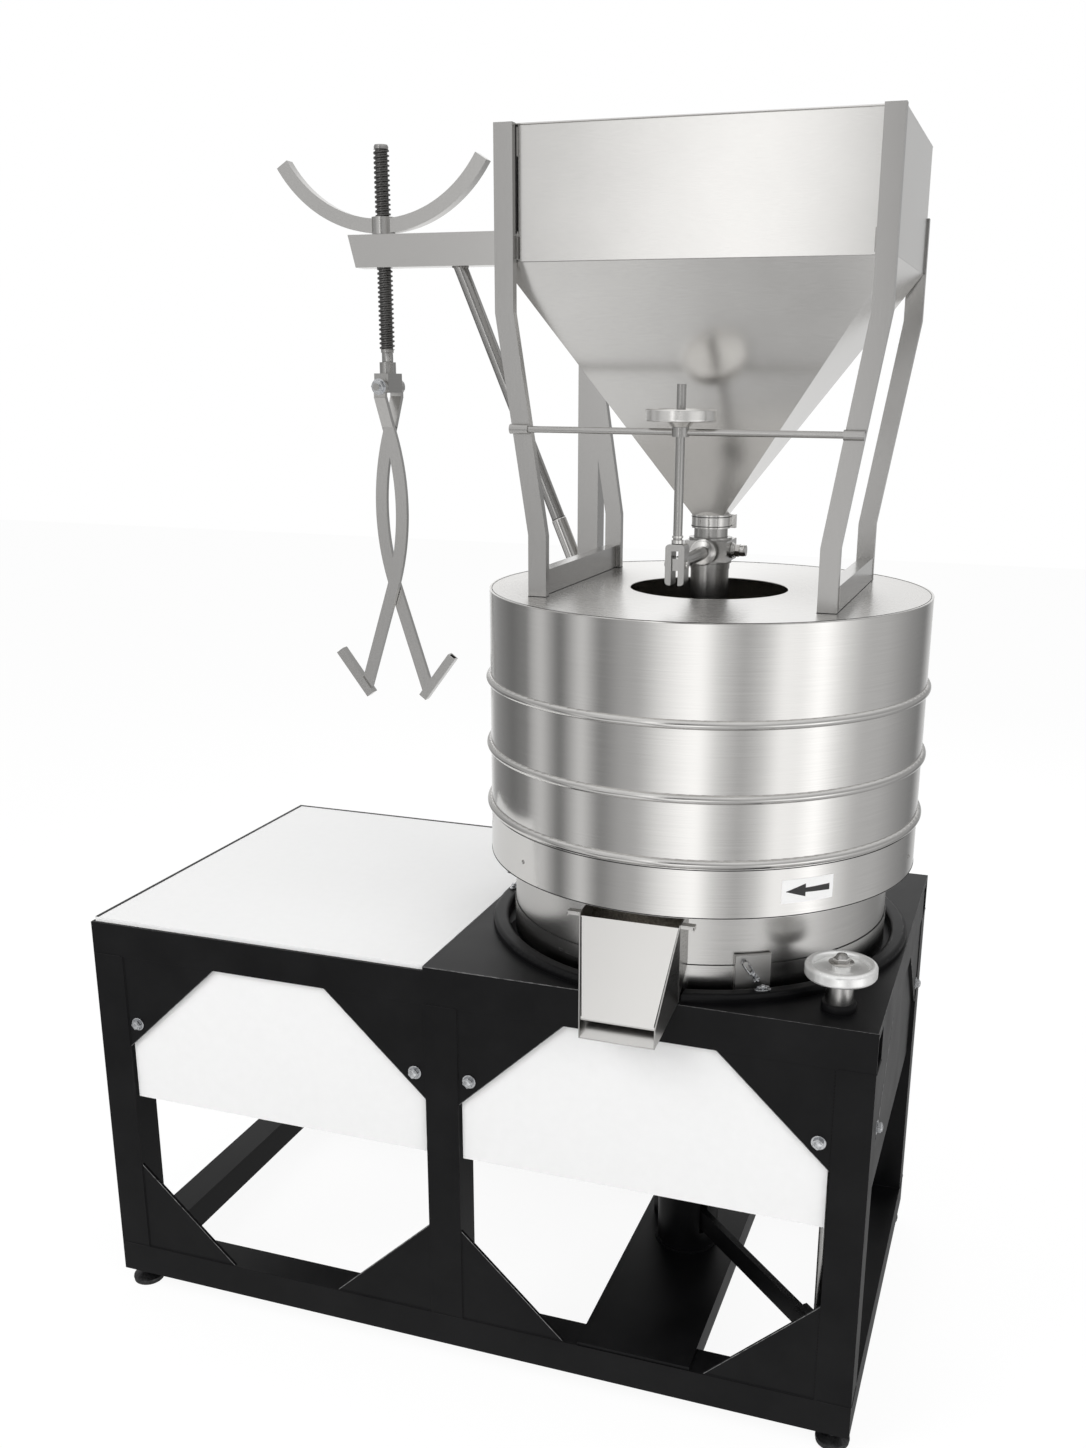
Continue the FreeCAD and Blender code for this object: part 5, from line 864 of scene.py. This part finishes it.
# Stand and hopper
def stand_and_hopper():
    """Joint lines round the legs' feet, weld beads and the hopper's hem, with the strips beside the front legs; the
    lines under the bars and the dark strips beside the legs are painted shade.
    """
    lines, beads = [], []
    for low, _, points in solids("stand_legs"):
        foot = [p for p in points if p.z < low.z + 0.0005]
        x0, x1 = min(p.x for p in foot), max(p.x for p in foot)
        y0, y1 = min(p.y for p in foot), max(p.y for p in foot)
        lines.append(rod([(x, y, low.z + 0.0004) for x, y in rectangle(x0, y0, x1, y1)], 0.0007, 6, True))
    for low, high, _ in solids("stand_bars"):
        for x in (low.x, high.x):
            # Dark line along each bar's lower edges: painted contact shadow
            lines.append(rod([(x, low.y + 0.001, low.z + 0.0004), (x, high.y - 0.001, low.z + 0.0004)], 0.0006, 6))
            for y in (low.y, high.y):
                beads.append(bead(even((x, y, low.z + 0.003), (x, y, high.z - 0.002)), 0.0011))
    low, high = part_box("hopper")
    leg_low, leg_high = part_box("stand_legs")
    fold = high.z - 0.192
    for x, way in ((leg_low.x + 0.0306, 1), (leg_high.x - 0.0306, -1)):
        # Dark strip in the gap between leg and hopper: painted shade
        lines.append(bar((x - 0.0006, low.y - 0.0006, fold + 0.040), (x + 0.0006, low.y + 0.0002, high.z - 0.002)))
        left, right = sorted((x - 0.0004 * way, x + 0.0026 * way))
        beads.append(bar((left, low.y - 0.0022, fold + 0.004), (right, low.y + 0.0002, fold + 0.036)))
    make("stand_joints_and_shade_lines", lines, "joint_and_shade_line")
    make("stand_beads", beads, "bead")
    centre, inset = middle("hopper"), 0.0004
    rim = [Vector((x + math.copysign(inset, centre.x - x), y + math.copysign(inset, centre.y - y), 0))
           for x, y in rectangle(low.x, low.y, high.x, high.y)]
    make("hopper_hem", [rod([p + UP * (high.z - 0.0012) for p in rim], 0.0012, 8, True)], "bright")
    # Darker line along the hopper's fold: painted shade
    make("hopper_fold", [rod([p + UP * fold for p in rim], 0.0007, 6, True)], "bar")


stand_and_hopper()


# Stone crane
def lift_thread():
    """Lifting screw with a rounded square thread over its upper part."""
    low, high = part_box("lift_screw")
    at = middle("lift_screw")
    at.z = 0
    pitch, outer, root, steps, rows = 0.0085, 0.0149, 0.0116, 32, 12
    bottom, top = high.z - 0.367, high.z - 0.008
    count = round((top - bottom) / pitch * rows)
    loops = []
    for row in range(count + 1):
        z = bottom + (top - bottom) * row / count
        loop = []
        for step, angle in enumerate(angles(steps)):
            turn = (z / pitch - step / steps) % 1
            groove = min(max((abs(turn - 0.5) - 0.17) / 0.13, 0), 1)
            radius = outer + (root - outer) * groove
            loop.append(at + Vector((radius * math.cos(angle), radius * math.sin(angle), z)))
        loops.append(loop)
    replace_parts(make("lift_thread", [rings(loops)], "thread", "crane_screw", sharp=50), "lift_screw")
    lower_end = [(0.0104, low.z), (0.011, low.z + 0.001), (0.011, bottom - 0.006), (0.0125, bottom - 0.005),
                 (0.0125, bottom + 0.001)]
    upper_end = [(0.0118, top - 0.001), (0.0135, top), (0.0138, top + 0.004), (0.0122, top + 0.0076),
                 (0.006, top + 0.0079)]
    make("lift_screw_ends", [turned(lower_end, at), turned(upper_end, at)], "bar", "crane_screw")


def crane_welds():
    """Beads at the brace's ends and the arm's joint, and the flattened sleeve at the brace's foot."""
    low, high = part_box("crane_brace")
    y = (low.y + high.y) / 2
    radius = (high.y - low.y) / 2
    run = Vector((low.x - high.x + radius * 1.07, 0, high.z - low.z - radius * 2.2)).normalized()
    head = Vector((low.x + radius / abs(run.z), y, high.z))
    foot = head - run * ((head.x - high.x) / run.x)
    sunk = 0.0008
    at_head = [Vector((head.x + radius / abs(run.z) * math.cos(a), y + radius * math.sin(a), high.z - sunk))
               for a in angles(48)]
    at_foot = [Vector((high.x - sunk, y + radius * math.sin(a), foot.z + radius / abs(run.x) * math.cos(a)))
               for a in angles(48)]
    beads = [bead(at_head, 0.0018, True), bead(at_foot, 0.0018, True)]
    low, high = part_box("crane_arm")
    for (y0, z0), (y1, z1) in in_turn(rectangle(low.y, low.z, high.y, high.z)):
        beads.append(bead(even((high.x, y0, z0), (high.x, y1, z1)), 0.0012))
    make("crane_beads", beads, "bead", "crane")
    sleeve = [(radius + 0.0003, 0.030), (radius + 0.0016, 0.031), (radius + 0.0016, 0.114), (radius + 0.0003, 0.116)]
    make("brace_sleeve", [turned(sleeve, foot, run)], "bright", "crane")
    make("brace_line", [loop_line(foot + run * 0.118 - run * 0.0015, radius + 0.0004, 0.0006, run)], "joint_and_shade_line", "crane")


def tong_bolt():
    """Washer, head and end of the tongs' bolt, in front of and behind the swivel block."""
    at = middle("tong_block")
    low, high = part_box("tong_block")
    height = TABLE_Z + 0.914
    parts = []
    for y, out in ((low.y + 0.0137, -BACK), (high.y - 0.0137, BACK)):
        seat = Vector((at.x, y, height))
        parts += [turned([(0.0150, 0.0001), (0.0154, 0.0006), (0.0154, 0.0017), (0.0146, 0.0022)], seat, out),
                  hexagon(0.0226, 0.0022, 0.0094, seat, out, 0.2),
                  turned([(0.0074, 0.0090), (0.0074, 0.0122), (0.0060, 0.0134)], seat, out, 20)]
    make("tong_bolt_heads", parts, "zinc", "tong_head", sharp=26)


lift_thread()
crane_welds()
tong_bolt()


def motor_trim():
    """Cooling ribs and terminal box on the motor."""
    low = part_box("motor")[0]
    at = middle("motor")
    parts = []
    for angle in angles(40):
        out = Vector((math.cos(angle), math.sin(angle), 0))
        side = UP.cross(out)
        start = Vector((at.x, at.y, low.z + 0.016)) + out * 0.0905
        parts.append(slab([start - side * 0.0012, start + side * 0.0012, start + side * 0.0008 + out * 0.0105,
                           start - side * 0.0008 + out * 0.0105], UP * 0.150))
    box_at = Vector((at.x - 0.098, at.y, low.z + 0.10))
    parts.append(bar(box_at - Vector((0.0095, 0.034, 0.034)), box_at + Vector((0.012, 0.034, 0.034))))
    make("motor_ribs", parts, "enamel", rounding=0.0004)


motor_trim()


# Camera, lamps and surroundings
def make_camera():
    """Camera fitted to the photograph; its shift stands for the principal point."""
    yaw, pitch, roll = (math.radians(a) for a in (CAMERA_YAW, CAMERA_PITCH, CAMERA_ROLL))
    level = Vector((-math.sin(yaw), math.cos(yaw), 0))
    right = Vector((math.cos(yaw), math.sin(yaw), 0))
    ahead = level * math.cos(pitch) - UP * math.sin(pitch)
    up = level * math.sin(pitch) + UP * math.cos(pitch)
    side = right * math.cos(roll) + up * math.sin(roll)
    top = up * math.cos(roll) - right * math.sin(roll)
    data = bpy.data.cameras.new("camera")
    data.sensor_fit = "HORIZONTAL"
    data.sensor_width = 36.0
    data.lens = FOCAL_PX / IMAGE_WIDTH * data.sensor_width
    data.shift_x = (IMAGE_WIDTH / 2 - PRINCIPAL_X) / IMAGE_WIDTH
    data.shift_y = (PRINCIPAL_Y - IMAGE_HEIGHT / 2) / IMAGE_WIDTH
    data.clip_end = 60.0
    camera = bpy.data.objects.new("camera", data)
    camera.matrix_world = Matrix.Translation(CAMERA_AT) @ Matrix((side, top, -ahead)).transposed().to_4x4()
    scene.collection.objects.link(camera)
    scene.camera = camera


def soft_lamp(name, at, towards, width, power):
    """Square lamp that metal doesn't mirror."""
    data = bpy.data.lights.new(name, "AREA")
    data.size = width
    data.energy = power
    lamp = bpy.data.objects.new(name, data)
    lamp.location = at
    lamp.rotation_euler = (Vector(towards) - Vector(at)).to_track_quat("-Z", "Y").to_euler()
    lamp.visible_glossy = False
    scene.collection.objects.link(lamp)


# Softboxes and dark flags round the studio: bearing in degrees from +X, brightness that metal sees.
# LEVEL is seen by the drum and hood, HIGH by upright faces above the camera, LOW by the hopper's slopes.
LEVEL = [
    (-180, 0.45), (-170, 0.75), (-156, 0.12), (-142, 0.85), (-131, 0.22), (-119, 0.48), (-110, 0.52), (-98, 1.00),
    (-88, 1.30), (-79, 1.50), (-70, 0.85), (-58, 0.48), (-48, 0.75), (-38, 1.30), (-28, 1.20), (-17, 1.60), (-4, 0.95),
    (9, 0.60), (25, 0.56), (45, 0.36), (66, 0.22), (75, 0.50), (95, 1.05), (118, 1.10), (135, 0.40), (145, 0.30),
    (164, 0.18), (172, 0.24),
]
HIGH = [
    (-180, 0.50), (-160, 0.40), (-142, 0.50), (-126, 0.80), (-116, 0.55), (-109, 0.80), (-105, 1.35), (-101, 2.00),
    (-98, 1.00), (-95, 0.05), (-88, 0.05), (-80, 0.40), (-66, 0.45), (-46, 0.55), (-12, 0.50), (8, 0.45), (42, 0.40),
    (75, 0.38), (88, 0.75), (95, 1.15), (118, 1.20), (135, 0.55), (160, 0.40),
]
LOW = [
    (-180, 0.40), (-140, 0.70), (-116, 0.95), (-110, 0.62), (-104, 0.16), (-97, 0.90), (-80, 0.62), (-40, 0.50),
    (0, 0.60), (60, 0.40), (120, 0.60), (160, 0.40),
]
# Brightness of the ceiling for metal, and of the even light on everything else
OVERHEAD, AMBIENT = 0.87, 0.55
# The ramps' colours stop at 1, so they are divided by this and the background's strength makes up for it
WORLD_SCALE = 2.0
# The camera sees this share of the floor as a glow of this strength
FLOOR_SHARE, FLOOR_GLOW = 0.87, 1.06
WHITE = (1, 1, 1, 1)


def make_world():
    """Studio that metal mirrors, even light on the rest, and white behind the object."""
    world = bpy.data.worlds.new("studio")
    scene.world = world
    world.use_nodes = True
    tree = world.node_tree
    tree.nodes.clear()
    coords = add(tree, "ShaderNodeTexCoord")
    x, y, z = add(tree, "ShaderNodeSeparateXYZ", {"Vector": coords.outputs["Generated"]}).outputs
    bearing = add(tree, "ShaderNodeMath", {0: y, 1: x}, operation="ARCTAN2")
    turns = add(tree, "ShaderNodeMapRange", {
        "Value": bearing.outputs[0], "From Min": -math.pi, "From Max": math.pi})

    def zone(stops):
        return ramp(tree, turns.outputs["Result"], [((a + 180) / 360, (v / WORLD_SCALE,) * 3) for a, v in stops])

    def blend(lower, upper, start, end):
        """Mix of two colours, from lower to upper, as the direction rises from start to end."""
        rise = add(tree, "ShaderNodeMapRange", {"Value": z, "From Min": start, "From Max": end})
        return add(tree, "ShaderNodeMix", {"Factor": rise.outputs["Result"], "A": lower, "B": upper},
                   data_type="RGBA").outputs["Result"]

    def lit(colour, strength):
        return add(tree, "ShaderNodeBackground", {"Color": colour, "Strength": strength}).outputs[0]

    boxes = blend(zone(LOW), zone(LEVEL), -0.62, -0.45)
    boxes = blend(boxes, zone(HIGH), -0.11, -0.03)
    boxes = blend(boxes, (*[OVERHEAD / WORLD_SCALE] * 3, 1), 0.35, 0.80)
    path = add(tree, "ShaderNodeLightPath")
    first = add(tree, "ShaderNodeMixShader", {
        "Fac": path.outputs["Is Glossy Ray"], 1: lit(WHITE, AMBIENT), 2: lit(boxes, WORLD_SCALE)})
    second = add(tree, "ShaderNodeMixShader", {
        "Fac": path.outputs["Is Camera Ray"], 1: first.outputs[0], 2: lit(WHITE, 1.0)})
    add(tree, "ShaderNodeOutputWorld", {"Surface": second.outputs[0]})


def make_floor(half=12.0):
    """Pale floor that takes shadows and melts into the white behind it."""
    mesh = bpy.data.meshes.new("floor")
    mesh.from_pydata([(x, y, 0) for x, y in rectangle(-half, -half, half, half)], [], [(0, 1, 2, 3)])
    floor = bpy.data.objects.new("floor", mesh)
    floor.location.z = -0.0005
    floor.visible_glossy = False
    scene.collection.objects.link(floor)
    mat, tree, _ = material("pale_floor")
    tree.nodes.clear()
    matt = add(tree, "ShaderNodeBsdfDiffuse", {"Color": (0.80, 0.80, 0.80, 1)})
    glow = add(tree, "ShaderNodeEmission", {"Color": WHITE, "Strength": FLOOR_GLOW})
    path = add(tree, "ShaderNodeLightPath")
    share = add(tree, "ShaderNodeMath", {0: path.outputs["Is Camera Ray"], 1: FLOOR_SHARE}, operation="MULTIPLY")
    mix = add(tree, "ShaderNodeMixShader", {"Fac": share.outputs[0], 1: matt.outputs[0], 2: glow.outputs[0]})
    add(tree, "ShaderNodeOutputMaterial", {"Surface": mix.outputs[0]})
    mesh.materials.append(mat)


make_camera()
make_world()
make_floor()
soft_lamp("key", (-2.4, -3.2, 3.6), (0, 0, 0.9), 2.6, 95)
soft_lamp("fill", (3.4, -2.2, 2.4), (0.2, 0, 0.9), 2.4, 55)
soft_lamp("back", (0.0, 3.4, 3.2), (0, 0, 1.0), 2.4, 40)
